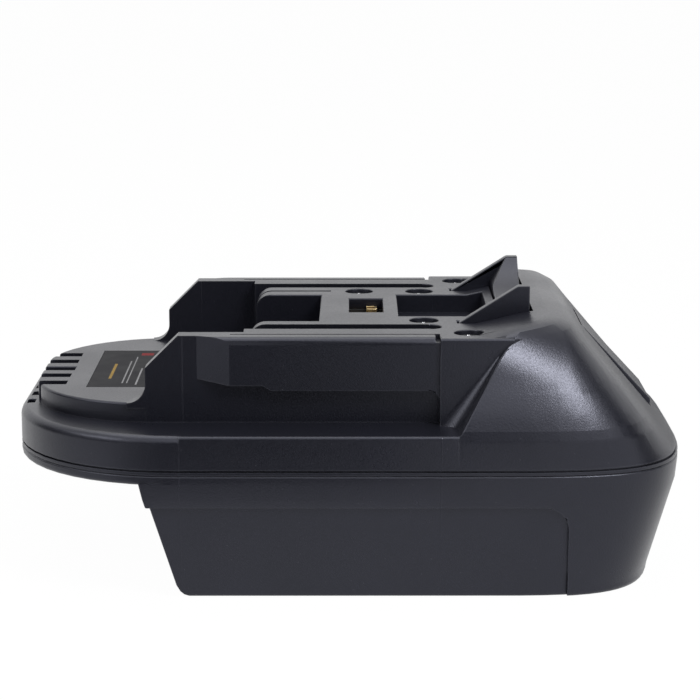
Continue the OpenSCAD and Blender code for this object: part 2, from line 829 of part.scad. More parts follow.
module band() {
    bead_z = seam_z - seam_gap - bead_h;
    loft([
        ring(rim_outline(band_edge), channel_h),
        ring(rim_outline(0), channel_h + band_edge),
        ring(rim_outline(0), bead_z - 2 * bead_line),
        ring(rim_outline(bead_line), bead_z - bead_line),
        ring(rim_outline(0), bead_z),
        ring(rim_outline(0), seam_z - seam_gap)
    ]);
    translate([0, 0, channel_h + band_edge])
        linear_extrude(band_h - band_edge) polygon(rim_outline(seam_depth));
}
// The recessed panels on both sides and across the battery end.
module panel_zone() {
    corner_r = 4.5;
    across(-half_w - over, half_w + over) {
        translate([-half_l, -over]) square([half_l + panel_x1 - corner_r, panel_h + over]);
        translate([-half_l, -over]) square([half_l + panel_x1, panel_h - corner_r + over]);
        translate([panel_x1 - corner_r, panel_h - corner_r]) circle(corner_r);
    }
}
module battery_channel() {
    box([-half_l, -channel_half, lip_h], [channel_x1, channel_half, channel_h]);
    box([-half_l, -lip_half, -over], [channel_x1, lip_half, channel_h]);
    box([catch_x0, -catch_w / 2, lip_h], [catch_x0 + catch_l, catch_w / 2, channel_h + catch_d]);
}
// Hollow sides between ribs, and the well behind the channel's end that the button dips into.
module side_hollows() {
    ribs = 4;
    x0 = battery_end_x + battery_end_lean + 3;
    pitch = (channel_x1 - x0) / ribs;
    box([channel_x1 + wall, -half_w, wall], [half_l, half_w, seam_z + over]);
    both_sides()
        for (i = [0 : ribs - 1])
            box(
                [x0 + i * pitch, channel_half + wall, lip_h],
                [x0 + (i + 1) * pitch - wall, half_w, seam_z]
            );
}
module blade_passage(y) {
    box(
        [tail_x1 - tail_w - seat, y - blade_t / 2 - seat, channel_h - over],
        [tail_x1 + seat, y + blade_t / 2 + seat, floor_z + over]
    );
}
// The button dips through the floor behind the channel's end.
module button_way() {
    play = 1;
    half = button_half + play;
    box([channel_x1 + wall, -half, channel_h - over], [button_x1 + play, half, seam_z + over]);
}
module lower_housing() {
    tongue_h = 1.2;
    tongue_t = 1.2;
    pilot_depth = 1.2;
    color([0.14, 0.15, 0.18])
        difference() {
            union() {
                difference() {
                    union() {
                        battery_body(0, 0);
                        band();
                    }
                    difference() {
                        panel_zone();
                        battery_body(panel_d, 0);
                    }
                    battery_channel();
                    intersection() {
                        battery_body(wall + 0.3, wall);
                        side_hollows();
                    }
                    translate([0, 0, floor_z]) linear_extrude(band_h) polygon(rim_outline(wall + tongue_t));
                }
                translate([0, 0, seam_z - over]) linear_extrude(tongue_h + over)
                    difference() {
                        polygon(flange_outline(wall + seat));
                        polygon(flange_outline(wall + tongue_t));
                        translate([0, -half_w]) square([half_l, body_width]);
                    }
                for (p = hood_screws_at)
                    translate([p[0], p[1], channel_h]) cylinder(d = boss_d, h = skin_z - channel_h);
                for (p = springs_at)
                    translate([p[0], p[1], channel_h]) cylinder(d = post_d, h = post_z - channel_h);
                for (p = board_screws_at)
                    translate([p[0], p[1], channel_h])
                        cylinder(d = 2 * board_screw_d, h = board_z - channel_h);
            }
            for (p = hood_screws_at)
                translate([p[0], p[1], skin_z - 9]) cylinder(d = pilot_d, h = 9 + over);
            for (p = springs_at)
                translate([p[0], p[1], bore_end_z]) cylinder(d = bore_d, h = post_z - bore_end_z + over);
            for (p = board_screws_at)
                translate([p[0], p[1], floor_z - pilot_depth])
                    cylinder(d = board_screw_d, h = standoff_h + pilot_depth + over);
            for (p = flange_screws_at)
                translate([p[0], p[1], channel_h - over]) {
                    cylinder(d = screw_head_d + 2 * head_gap, h = over + head_gap + screw_head_h);
                    cylinder(d = pilot_d, h = wall + 2 * over);
                }
            for (y = [-blade_y, -signal_blade_y, signal_blade_y, blade_y]) blade_passage(y);
            button_way();
        }
}

// Release latch
module fin_profile() {
    polygon([
        [fin_tip_x, plate_z],
        [fin_tip_x, tower_z],
        [fin_back_x - fin_flat, fin_top_z],
        [fin_back_x, fin_top_z],
        [fin_back_x, plate_z]
    ]);
}
module saddle() {
    difference() {
        across(-fin_half, fin_half)
            polygon([
                [saddle_x0, plate_z],
                [saddle_x0, fin_top_z - 4.6],
                [fin_back_x - fin_flat, fin_top_z],
                [fin_back_x, fin_top_z],
                [fin_back_x, plate_z]
            ]);
        translate([saddle_x0 - over, 0, saddle_low_z + saddle_r])
            rotate([0, 90, 0]) cylinder(r = saddle_r, h = fin_back_x - saddle_x0 + 2 * over, $fn = 96);
    }
}
module button() {
    shell = latch_t + 0.4;
    across(-button_half, button_half)
        polygon([
            [button_x0, slope_z(button_x0)],
            [button_x1, slope_z(button_x1) + button_proud],
            [button_x1, slope_z(button_x1) - shell],
            [button_x0, slope_z(button_x0) - shell]
        ]);
}
module release_latch() {
    color([0.16, 0.17, 0.2])
        union() {
            both_sides() across(fin_y - fin_t / 2, fin_half) fin_profile();
            saddle();
            box(
                [latch_plate_x0, -latch_plate_half, plate_z],
                [latch_plate_x1, latch_plate_half, plate_top_z]
            );
            box([latch_plate_x1 - over, -link_half, plate_z], [link_x1, link_half, plate_top_z]);
            button();
            for (p = springs_at)
                translate([p[0], p[1], guide_end_z]) cylinder(d = guide_d, h = plate_z - guide_end_z + over);
        }
}

// Springs: one helix each, from the floor to the plate.
spring_rings = 8;
spring_r = (spring_d - spring_wire) / 2;
function spring_path(x, y) = [
    for (i = [0 : spring_turns * spring_rings])
        let (
            a = 360 * i / spring_rings,
            low = floor_z + spring_wire / 2 + seat,
            high = plate_z - spring_wire / 2 - seat
        )
        [x + spring_r * cos(a), y + spring_r * sin(a), low + (high - low) * i / (spring_turns * spring_rings)]
];
module latch_springs() {
    path = spring_path(0, 0);
    gaps = [
        for (i = [0 : len(path) - 1], j = [i + spring_rings / 2 : 1 : len(path) - 1]) norm(path[i] - path[j])
    ];
    echo(str("Least gap between spring turns, mm: ", min(gaps) - spring_wire));
    color([0.75, 0.76, 0.78])
        for (p = springs_at) tube(spring_path(p[0], p[1]), spring_wire, 6, [0, 0, 1]);
}

// Tool side: block and contacts
module tool_terminal_block() {
    cell_half = contact_inner + contact_t + 0.3;
    cell_x1 = contact_x1 + 0.4;
    color([0.1, 0.1, 0.11])
        difference() {
            union() {
                box([contact_x0, -tool_block_half, tool_block_z], [tool_block_x1, tool_block_half, skin_z]);
                both_sides()
                    box([tool_block_x1 - over, ear_inner, skin_z - 5], [ear_x1, tool_block_half, skin_z]);
            }
            for (y = [positive_y, signal_y, negative_y]) {
                box(
                    [contact_x0 - over, y - cell_half, contact_z - seat],
                    [cell_x1, y + cell_half, skin_z + over]
                );
                box(
                    [contact_x1 - contact_t - seat, y - contact_inner - seat, tool_block_z - over],
                    [contact_x1 + seat, y + contact_inner + seat, contact_z]
                );
            }
            box(
                [window_x0, -window_w / 2, contact_z + contact_h - 2],
                [window_x0 + window_l, window_w / 2, skin_z + over]
            );
            for (p = tower_screws_at)
                translate([p[0], p[1], skin_z - 4]) cylinder(d = pilot_d, h = 4 + over);
        }
}
// A spring clip bent from brass strip: two leaves that pinch the tool's blade, and a tail to solder.
// Where the window is above the clip's back, the back reaches up into the window as a test point.
module contact_outline() {
    throat = 0.45;
    flare = 1.1;
    throat_x = contact_x0 + 2;
    for (s = [-1, 1])
        polygon([
            [contact_x0 + 0.7, s * flare],
            [throat_x, s * throat],
            [contact_x1 - 1, s * contact_inner],
            [contact_x1, s * contact_inner],
            [contact_x1, s * (contact_inner + contact_t)],
            [contact_x1 - 1, s * (contact_inner + contact_t)],
            [throat_x, s * (throat + contact_t)],
            [contact_x0 + 0.7, s * (flare + contact_t)]
        ]);
    translate([contact_x1 - contact_t, -contact_inner - contact_t])
        square([contact_t, 2 * (contact_inner + contact_t)]);
}
module tool_contact(y) {
    back_l = 2.1;
    half = contact_inner + contact_t;
    under_window = abs(y) + half < window_w / 2 - seat
        && contact_x1 - back_l > window_x0 + seat
        && contact_x1 < window_x0 + window_l - seat;
    translate([0, y, contact_z]) {
        linear_extrude(contact_h) contact_outline();
        if (under_window)
            linear_extrude(skin_z + wall / 3 - contact_z)
                intersection() {
                    contact_outline();
                    translate([contact_x1 - back_l, -half]) square([back_l, 2 * half]);
                }
    }
    box(
        [contact_x1 - contact_t, y - contact_inner, contact_tail_z],
        [contact_x1, y + contact_inner, contact_z + over]
    );
}
module tool_contact_positive() { color([0.8, 0.68, 0.4]) tool_contact(positive_y); }
module tool_contact_negative() { color([0.8, 0.68, 0.4]) tool_contact(negative_y); }
module tool_contact_signal() { color([0.8, 0.68, 0.4]) tool_contact(signal_y); }

// Battery side: block and blades
module battery_terminal_block() {
    x0 = channel_x1 - battery_block_l;
    slot = blade_t + 2 * seat;
    color([0.1, 0.1, 0.11])
        difference() {
            box([x0, -battery_block_half, battery_block_z], [channel_x1, battery_block_half, channel_h]);
            for (y = [-blade_y, -signal_blade_y, signal_blade_y, blade_y]) {
                box(
                    [x0 - over, y - slot / 2, blade_z - seat],
                    [tail_x1 + seat, y + slot / 2, blade_z + blade_h + seat]
                );
                box(
                    [tail_x1 - tail_w - seat, y - slot / 2, blade_z],
                    [tail_x1 + seat, y + slot / 2, channel_h + over]
                );
            }
        }
}
// A flat blade with a bevelled tip, and a tail that rises through the floor.
module battery_blade(y) {
    tip_x = channel_x1 - battery_block_l - blade_l;
    bevel = 1.2;
    across(y - blade_t / 2, y + blade_t / 2)
        polygon([
            [tip_x, blade_z + bevel],
            [tip_x + bevel, blade_z],
            [tail_x1, blade_z],
            [tail_x1, tail_top_z],
            [tail_x1 - tail_w, tail_top_z],
            [tail_x1 - tail_w, blade_z + blade_h],
            [tip_x + bevel, blade_z + blade_h],
            [tip_x, blade_z + blade_h - bevel]
        ]);
}
module battery_blade_positive() { color([0.8, 0.7, 0.45]) battery_blade(blade_y); }
module battery_blade_negative() { color([0.8, 0.7, 0.45]) battery_blade(-blade_y); }
module battery_blade_signal() {
    color([0.8, 0.7, 0.45]) {
        battery_blade(signal_blade_y);
        battery_blade(-signal_blade_y);
    }
}

// Circuit board and what is soldered to it
module circuit_board() {
    bevel = 6;
    half = board_w / 2;
    color([0.05, 0.3, 0.14])
        translate([0, 0, board_z])
            linear_extrude(board_t)
                difference() {
                    polygon([
                        [board_x1, -half],
                        [board_x1, half],
                        [board_x0 + bevel, half],
                        [board_x0, half - bevel],
                        [board_x0, bevel - half],
                        [board_x0 + bevel, -half]
                    ]);
                    for (p = board_screws_at)
                        translate(p) circle(d = board_screw_d + 2 * seat);
                }
}
module power_transistors() {
    from_end = 0.3125 * board_l;
    apart = 0.225 * board_w;
    color([0.12, 0.12, 0.12])
        for (s = [-1, 1])
            translate([board_x1 - from_end, s * apart, board_top_z]) {
                translate([-3.3, -3.3, 0]) cube([6.6, 6.6, 2.3]);
                translate([3.2, -2.6, 0]) cube([2.6, 5.2, 0.6]);
                for (y = [-2.3, 0, 2.3])
                    translate([-5.4, y - 0.4, 0]) cube([2.2, 0.8, 0.9]);
            }
}
module heat_sink() {
    fins = 6;
    base = 1.4;
    x0 = board_x0 + 7;
    length = 8;
    width = 22;
    pitch = (width - 1) / (fins - 1);
    color([0.7, 0.71, 0.73])
        translate([x0, -width / 2, board_top_z]) {
            cube([length, width, base]);
            for (i = [0 : fins - 1])
                translate([0, i * pitch, 0]) cube([length, 1, 4]);
        }
}
module filter_capacitor() {
    d = 6;
    h = 4.6;
    color([0.2, 0.22, 0.3])
        translate([board_x1 - 11, 0, board_top_z]) {
            translate([-d / 2 - 0.3, -d / 2 - 0.3, 0]) cube([d + 0.6, d + 0.6, 0.8]);
            cylinder(d = d, h = h);
        }
}
module control_chip() {
    pins = 4;
    pin_x = 2.4;
    color([0.1, 0.1, 0.1])
        translate([board_x0 + 3.5, 0, board_top_z]) {
            translate([-1.9, -2.5, 0.1]) cube([3.8, 5, 1.5]);
            for (s = [-1, 1], i = [0 : pins - 1])
                translate([s * pin_x - 0.6, (i - (pins - 1) / 2) * 1.27 - 0.2, 0]) cube([1.2, 0.4, 0.5]);
        }
}
module board_resistors() {
    count = 4;
    pitch = 2.8;
    width = 3.2;
    apart = 0.4025 * board_w;
    color([0.15, 0.14, 0.13])
        for (s = [-1, 1], i = [0 : count - 1])
            translate([board_x0 + 9 + pitch * i, s * apart - width / 2, board_top_z])
                cube([1.6, width, 0.6]);
}

// Leads: each route's points are on the board, along the floor and at the contact or blade.
board_end_x = board_x1 - 3;
blade_lead_x = tail_x1 - tail_w - seat;
contact_lead_x = contact_x1 - contact_t - seat;
blade_lead_z = tail_top_z - lead_d / 2;
contact_lead_z = contact_tail_z + lead_d / 2;
module input_lead(s) {
    y = blade_y - 2.6;
    tube(smooth([
        [board_end_x, s * y, lead_z],
        [board_x1, s * y, lead_z],
        [board_x1 + 8, s * y, lead_z - 0.6],
        [0, s * blade_y, lead_z - 0.8],
        [20, s * blade_y, lead_z - 0.8],
        [blade_lead_x - 5, s * blade_y, blade_lead_z],
        [blade_lead_x, s * blade_y, blade_lead_z]
    ]), lead_d, 8, [0, 0, 1]);
}
module output_lead(y0, y1) {
    tube(smooth([
        [board_end_x, y0, lead_z],
        [board_x1, y0, lead_z],
        [board_x1 + 8, y0, lead_z - 0.4],
        [contact_lead_x - 8, y1, contact_lead_z],
        [contact_lead_x - 3, y1, contact_lead_z],
        [contact_lead_x, y1, contact_lead_z]
    ]), lead_d, 8, [0, 0, 1]);
}
module positive_input_lead() { color([0.7, 0.08, 0.06]) input_lead(1); }
module negative_input_lead() { color([0.05, 0.05, 0.05]) input_lead(-1); }
module positive_output_lead() { color([0.7, 0.08, 0.06]) output_lead(5, positive_y); }
module negative_output_lead() { color([0.05, 0.05, 0.05]) output_lead(-9, negative_y); }
module signal_lead() { color([0.85, 0.7, 0.1]) output_lead(-2, signal_y); }

// Screws
module cross_screw(length) {
    arm = 0.9;
    span = 0.62 * screw_head_d;
    difference() {
        union() {
            translate([0, 0, -screw_head_h]) cylinder(d = screw_head_d, h = screw_head_h);
            translate([0, 0, -screw_head_h - length]) cylinder(d = screw_d, h = length + over / 2);
        }
        for (a = [0, 90])
            rotate([0, 0, a])
                translate([-span / 2, -arm / 2, -cross_depth]) cube([span, arm, cross_depth + over]);
    }
}
module tower_screws() {
    color([0.12, 0.12, 0.13])
        for (p = tower_screws_at) translate([p[0], p[1], tower_z - head_sink]) cross_screw(4);
}
module hood_screws() {
    color([0.12, 0.12, 0.13])
        for (p = hood_screws_at) translate([p[0], p[1], tower_z - head_sink]) cross_screw(9);
}
module flange_screws() {
    color([0.12, 0.12, 0.13])
        for (p = flange_screws_at)
            translate([p[0], p[1], channel_h + head_gap]) mirror([0, 0, 1]) cross_screw(5);
}
module board_screws() {
    head_d = 3.4;
    head_h = 1;
    shank_l = board_t + standoff_h;
    color([0.72, 0.73, 0.75])
        for (p = board_screws_at)
            translate([p[0], p[1], board_top_z]) {
                cylinder(d = head_d, h = head_h);
                translate([0, 0, -shank_l])
                    cylinder(d = board_screw_d - 2 * seat, h = shank_l + head_h / 2);
            }
}

module label_plate() {
    color([0.1, 0.1, 0.12])
        translate([label_from_end - half_l, -label_w / 2, tier_z - label_t])
            cube([label_l, label_w, label_t]);
}

upper_housing();
lower_housing();
release_latch();
latch_springs();
tool_terminal_block();
tool_contact_positive();
tool_contact_negative();
tool_contact_signal();
battery_terminal_block();
battery_blade_positive();
battery_blade_negative();
battery_blade_signal();
circuit_board();
power_transistors();
heat_sink();
filter_capacitor();
control_chip();
board_resistors();
positive_input_lead();
negative_input_lead();
positive_output_lead();
negative_output_lead();
signal_lead();
tower_screws();
hood_screws();
flange_screws();
board_screws();
label_plate();
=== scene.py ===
"""Dresses the tool battery adapter: a finish for every moulded, pressed and wound piece, and a plain stage."""
import math

import bmesh
import bpy
import numpy as np
from bpy.props import FloatProperty, FloatVectorProperty, IntProperty, PointerProperty
from bpy.types import Operator, Panel, PropertyGroup
from mathutils import Matrix, Vector
from mathutils.bvhtree import BVHTree


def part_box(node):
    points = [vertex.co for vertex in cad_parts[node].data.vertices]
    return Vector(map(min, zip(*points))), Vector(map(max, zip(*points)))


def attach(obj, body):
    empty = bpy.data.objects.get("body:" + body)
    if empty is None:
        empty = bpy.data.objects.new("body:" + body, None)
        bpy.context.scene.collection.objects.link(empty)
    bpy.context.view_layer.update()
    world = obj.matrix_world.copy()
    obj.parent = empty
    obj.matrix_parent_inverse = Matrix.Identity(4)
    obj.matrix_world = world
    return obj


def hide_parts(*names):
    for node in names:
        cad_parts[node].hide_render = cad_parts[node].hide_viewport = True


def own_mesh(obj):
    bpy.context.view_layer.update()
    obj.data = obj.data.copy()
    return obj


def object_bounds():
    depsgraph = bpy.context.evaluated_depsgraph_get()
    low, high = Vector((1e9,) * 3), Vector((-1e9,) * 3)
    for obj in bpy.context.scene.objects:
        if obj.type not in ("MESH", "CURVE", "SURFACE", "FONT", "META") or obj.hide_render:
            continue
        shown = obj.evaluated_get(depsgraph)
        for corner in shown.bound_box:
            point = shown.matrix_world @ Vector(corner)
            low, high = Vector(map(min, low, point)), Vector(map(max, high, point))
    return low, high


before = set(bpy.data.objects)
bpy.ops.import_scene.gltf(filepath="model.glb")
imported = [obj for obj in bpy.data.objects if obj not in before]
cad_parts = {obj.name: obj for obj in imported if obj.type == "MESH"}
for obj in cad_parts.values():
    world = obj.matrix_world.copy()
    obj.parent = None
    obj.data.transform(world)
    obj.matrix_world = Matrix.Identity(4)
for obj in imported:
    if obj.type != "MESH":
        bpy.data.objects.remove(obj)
CAD_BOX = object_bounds()

bl_info = {
    "name": "Tool battery adapter",
    "version": (1, 0, 0),
    "blender": (4, 5, 0),
    "location": "3D View > Sidebar > Adapter",
    "description": "Dresses the adapter's packed model and sets a plain stage around it",
    "category": "Object",
}

MM = 0.001

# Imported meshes: points this near are one, and faces that turn by less than this are one flat face.
SAME_POINT = 2e-6
FLAT_TURN = math.radians(0.3)

# Rounding: edges that turn by more than this are sharp, and wrongly rounded ones are sought this often.
SHARP_TURN = math.radians(30)
ROUNDING_PASSES = 10

# Shading: faces that turn by less than this are shaded as one, with more allowed beside a narrow strip.
FACE_TURN = math.radians(16)
STRIP_TURN = math.radians(40)
STRIP_WIDTH = 0.0029
CRISP_TURN = math.radians(35)

# The hood's skin: its faces turn no more to the free end and no more upwards than this.
SKIN_BACK = -0.1
SKIN_UP = 0.88

NO_LENGTH = 1e-12


def colour(name, text, value):
    """A colour that a user would change."""
    return FloatVectorProperty(name=name, description=text, subtype="COLOR", size=3, min=0, max=1, default=value)


def length(name, text, millimetres):
    """A length that a user would change, given in millimetres."""
    return FloatProperty(
        name=name, description=text, subtype="DISTANCE", unit="LENGTH", precision=5, min=0,
        default=millimetres * MM,
    )


def share(name, text, value):
    """A share between nothing and all."""
    return FloatProperty(name=name, description=text, subtype="FACTOR", min=0, max=1, default=value)


class AdapterMouldings(PropertyGroup):
    """Sizes and colours of the moulded pieces."""

    shell: colour("Shell", "Colour of both housings", (0.0045, 0.0047, 0.0075))
    latch: colour("Latch", "Colour of the release latch", (0.0047, 0.0049, 0.0078))
    block: colour("Blocks", "Colour of the terminal blocks", (0.007, 0.007, 0.008))
    # Pale flecks and edges take this colour; on edges it is partly wear and partly a painted highlight.
    rub_and_painted_highlight: colour("Rubbed edge", "Colour where handling has polished an edge", (0.06, 0.062, 0.072))
    grain: length("Grain", "Width of one grain of the moulded texture", 0.36)
    grain_depth: length("Grain depth", "Depth of the moulded texture", 0.024)
    edge: length("Edge", "Radius of the moulded edges", 0.28)
    seam_edge: length("Seam edge", "Radius of the edges where the housings meet", 0.08)
    seam: length("Seam", "Height of the seam between the housings", 24.7)
    seam_reach: length("Seam reach", "How far from the seam its finer edges reach", 1.5)
    fine_edge: length("Fine edge", "Radius of the edges of small mouldings", 0.12)
    roughness: share("Roughness", "Roughness of the moulded surface", 0.32)
    sheen: colour("Sheen", "Tint of the reflections that are seen straight on", (0.82, 0.84, 1.0))
    shoulder: length("Shoulder", "Half-width over the shoulders, beyond which the hood's sides lie", 34.25)
    hip_x: length("Hip start", "Where along the object the hood's hips start", 29.5)
    hip_z: length("Hip height", "Height at which the hood's hips start", 46.0)
    hip_fall: share("Hip fall", "How far a hip falls for each unit along the object", 0.46)
    hip_turn: FloatProperty(
        name="Hip turn", description="How far a side has turned to the end at the hip's line", subtype="ANGLE",
        default=math.radians(18)
    )
    hip_rate: FloatProperty(
        name="Hip rate", description="How fast a side turns to the end, for each millimetre", subtype="ANGLE",
        default=math.radians(4)
    )
    hip_round: length("Hip rounding", "Width of the rounding above the hood's sides", 5.0)
    hip_top: length("Hip top", "Height above which the hood's skin isn't cut finer", 49.5)
    hip_foot: length("Hip foot", "Height below which the hood's skin isn't cut finer", 28.8)
    hip_reach: length("Hip reach", "How far before the hips' start the hood's skin is cut finer", 9.5)
    hip_passes: IntProperty(name="Hip passes", description="How often the skin's shading is evened", default=16)
    hip_fade: length("Hip fade", "How far from its borders the evened shading fades in", 2.0)
    hip_step: length("Hip step", "Size of the faces that the hood's skin is cut into", 1.5)
    split_one: length("First split", "How far from the free end the first mould line runs", 32.3)
    split_two: length("Second split", "How far from the free end the second mould line runs", 79.8)


class AdapterMetals(PropertyGroup):
    """Sizes and colours of the pressed, turned and wound metal."""

    brass: colour("Brass", "Colour of the contacts and blades", (0.72, 0.56, 0.3))
    steel: colour("Steel", "Colour of the springs and plated screws", (0.62, 0.63, 0.65))
    oxide: colour("Black oxide", "Colour of the housing screws", (0.03, 0.031, 0.036))
    driven: colour("Driven steel", "Colour where a driver has worn the screws' crosses", (0.34, 0.34, 0.35))
    aluminium: colour("Aluminium", "Colour of the heat sink and the capacitor can", (0.7, 0.71, 0.73))
    contact_edge: length("Contact edge", "Radius of the contacts' and blades' edges", 0.06)
    wire: length("Spring wire", "Diameter of the spring wire", 0.8)
    turns: IntProperty(name="Spring turns", description="Turns of one spring", min=4, max=9, default=8)
    screw: length("Screw", "Thread diameter of the housing screws", 2.4)
    screw_head: length("Screw head", "Head height of the housing screws", 1.2)
    screw_pitch: length("Screw pitch", "Rise of one turn of the housing screws' thread", 0.8)
    board_screw: length("Board screw", "Thread diameter of the board screws", 1.6)
    board_screw_head: length("Board screw head", "Head height of the board screws", 1.0)
    board_screw_pitch: length("Board screw pitch", "Rise of one turn of the board screws' thread", 0.4)


class AdapterWiring(PropertyGroup):
    """Sizes and colours of the board and the leads."""

    mask: colour("Solder mask", "Colour of the circuit board", (0.012, 0.09, 0.035))
    package: colour("Package", "Colour of the moulded components", (0.02, 0.02, 0.021))
    red: colour("Red lead", "Insulation of the positive leads", (0.4, 0.018, 0.012))
    black: colour("Black lead", "Insulation of the negative leads", (0.015, 0.015, 0.016))
    yellow: colour("Yellow lead", "Insulation of the signal lead", (0.62, 0.4, 0.02))
    board_edge: length("Board edge", "Radius of the board's and the heat sink's edges", 0.1)
    package_edge: length("Package edge", "Radius of the moulded components' edges", 0.08)
    can_edge: length("Can edge", "Radius of the capacitor can's edges", 0.2)
    lead: length("Lead", "Diameter of a lead over its insulation", 2.4)
    strip: length("Strip", "Length of bare conductor at each end of a lead", 1.6)


class AdapterLabel(PropertyGroup):
    """Colours of the label and its plain bars."""

    film: colour("Film", "Colour of the label film", (0.012, 0.012, 0.014))
    amber: colour("Amber bar", "Colour of the short bar", (0.2, 0.13, 0.035))
    red: colour("Red bar", "Colour of the far bar", (0.12, 0.012, 0.014))
    pale: colour("Pale bars", "Colour of the long bars", (0.17, 0.17, 0.175))


class AdapterStage(PropertyGroup):
    """The floor, the light, the dark cards and the camera."""

    floor: colour("Floor", "Colour of the floor", (0.9, 0.9, 0.9))
    card: colour("Cards", "Colour of the dark cards that the plastic mirrors", (0.03, 0.03, 0.034))
    ambient: FloatProperty(name="Ambient", description="Light from all round", min=0, default=0.35)
    top_power: FloatProperty(name="Top light", description="Light from overhead", unit="POWER", default=1.4)
    front_power: FloatProperty(name="Front light", description="High light in front", unit="POWER", default=0.4)
    left_power: FloatProperty(name="Left light", description="Light from the left", unit="POWER", default=1.6)
    right_power: FloatProperty(name="Right light", description="Light from the right", unit="POWER", default=3.2)
    lens: FloatProperty(name="Lens", description="Focal length", unit="CAMERA", default=119.44)
    camera_tilt: FloatProperty(
        name="Tilt", description="Camera's tilt from straight down", subtype="ANGLE", default=math.radians(78.49)
    )
    camera_back: length("Camera back", "How far in front of the adapter the camera stands", 450)
    camera_up: length("Camera up", "Height of the camera above the floor", 129.91)
    camera_side: length("Camera side", "How far right of the middle the camera stands", 0.25)


# Meshes worked out as arrays

def read(items, key, width=1, kind=float):
    """One value of each of a mesh's points, edges, corners or faces, as an array, with a row each if it is wide."""
    values = np.empty(len(items) * width, kind)
    items.foreach_get(key, values)
    return values.reshape(-1, width) if width > 1 else values


def unit(ways):
    """Directions drawn out to a length of one."""
    return ways / np.maximum(np.linalg.norm(ways, axis=1, keepdims=True), NO_LENGTH)


def smooth(mesh):
    """Shades every face of a mesh smooth."""
    mesh.polygons.foreach_set("use_smooth", np.ones(len(mesh.polygons), bool))


def put_in_scene(name, data):
    """A new object in the scene, at the origin."""
    made = bpy.data.objects.new(name, data)
    bpy.context.scene.collection.objects.link(made)
    return made


def grid_faces(rows, cols, closed=False):
    """Quads of a grid: point (i, j) joins (i, j+1), (i+1, j+1) and (i+1, j). A closed grid's rows are rings."""
    i, j = np.meshgrid(np.arange(rows - 1), np.arange(cols - (not closed)), indexing="ij")
    on = (j + 1) % cols
    return np.stack([i * cols + j, i * cols + on, (i + 1) * cols + on, (i + 1) * cols + j], axis=-1).reshape(-1, 4)


def build_piece(name, parts, finishes, marks=None):
    """One object from (points, faces) pairs, with its doubles merged and its faces turned outwards."""
    starts = np.cumsum([0] + [len(points) for points, _ in parts[:-1]])
    points = np.concatenate([p for p, _ in parts])
    faces = [face for (_, fs), start in zip(parts, starts) for face in (np.asarray(fs) + start).tolist()]
    mesh = bpy.data.meshes.new(name)
    mesh.from_pydata(points.tolist(), [], faces)
    for finish in finishes:
        mesh.materials.append(finish)
    if marks is not None:
        mesh.polygons.foreach_set("material_index", np.asarray(marks, np.int32))
    work = bmesh.new()
    work.from_mesh(mesh)
    bmesh.ops.remove_doubles(work, verts=work.verts, dist=1e-7)
    bmesh.ops.recalc_face_normals(work, faces=work.faces)
    work.to_mesh(mesh)
    work.free()
    smooth(mesh)
    return put_in_scene(name, mesh)


def keep_crisp(piece):
    """Keeps the edges of a piece that turn sharply crisp."""
    work = bmesh.new()
    work.from_mesh(piece.data)
    for e in work.edges:
        e.smooth = e.is_manifold and e.calc_face_angle() < CRISP_TURN
    work.to_mesh(piece.data)
    work.free()


def along(path, radii, sides):
    """A tube: ring j of point i is path[i] + radius[i] (cos a u + sin a v), where u is level and square to the
    path, v is square to both and a runs once round. Fans close both ends."""
    tangent = unit(np.gradient(path, axis=0))
    level = unit(np.cross([0.0, 0.0, 1.0], tangent))
    rise = np.cross(tangent, level)
    angle = np.linspace(0, 2 * np.pi, sides, endpoint=False)[None, :, None]
    rings = path[:, None] + radii[:, None, None] * (np.cos(angle) * level[:, None] + np.sin(angle) * rise[:, None])
    rings = np.concatenate([np.repeat(path[:1, None], sides, 1), rings, np.repeat(path[-1:, None], sides, 1)])
    return rings.reshape(-1, 3), grid_faces(len(rings), sides, closed=True)


def rim(grid):
    """The points round the edge of a grid of points, in order."""
    return np.concatenate([grid[0, :-1], grid[:-1, -1], grid[-1, :0:-1], grid[:0:-1, 0]])


def sheet(grid):
    """The points and quads of one open grid of points."""
    return grid.reshape(-1, 3), grid_faces(*grid.shape[:2])


def ring_stack(rings):
    """The points and quads of rings of points, each joined to the next. A ring of one repeated point is a pole."""
    rings = np.asarray(rings)
    return rings.reshape(-1, 3), grid_faces(len(rings), rings.shape[1], closed=True)


def solid_boxes(node):
    """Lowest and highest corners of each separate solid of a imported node. Every point takes the least number in
    its triangles until none changes, so that the points of one solid end with one number."""
    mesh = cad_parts[node].data
    mesh.calc_loop_triangles()
    places = read(mesh.vertices, "co", 3)
    same = np.unique(np.round(places, 6), axis=0, return_inverse=True)[1].ravel()
    triangles = same[read(mesh.loop_triangles, "vertices", 3, np.int32)]
    number = np.arange(same.max() + 1)
    least = np.full_like(number, -1)
    while (least != number).any():
        least = number.copy()
        np.minimum.at(number, triangles, number[triangles].min(axis=1, keepdims=True))
    owner = number[same]
    return [(places[owner == k].min(axis=0), places[owner == k].max(axis=0)) for k in np.unique(owner)]


def through(points, steps):
    """A smooth run through given points: the cubic whose slope at a point is half the step between its
    neighbours, taken at the same number of steps in every stretch."""
    p = np.asarray(points, float)
    a = np.concatenate([p[:1], p[:-2]])
    b, c = p[:-1], p[1:]
    d = np.concatenate([p[2:], p[-1:]])
    t = np.linspace(0, 1, steps, endpoint=False)[None, :, None]
    a, b, c, d = (x[:, None] for x in (a, b, c, d))
    run = b + 0.5 * t * (c - a + t * (2 * a - 5 * b + 4 * c - d + t * (3 * (b - c) + d - a)))
    return np.concatenate([run.reshape(-1, 3), p[-1:]])


# Finishes

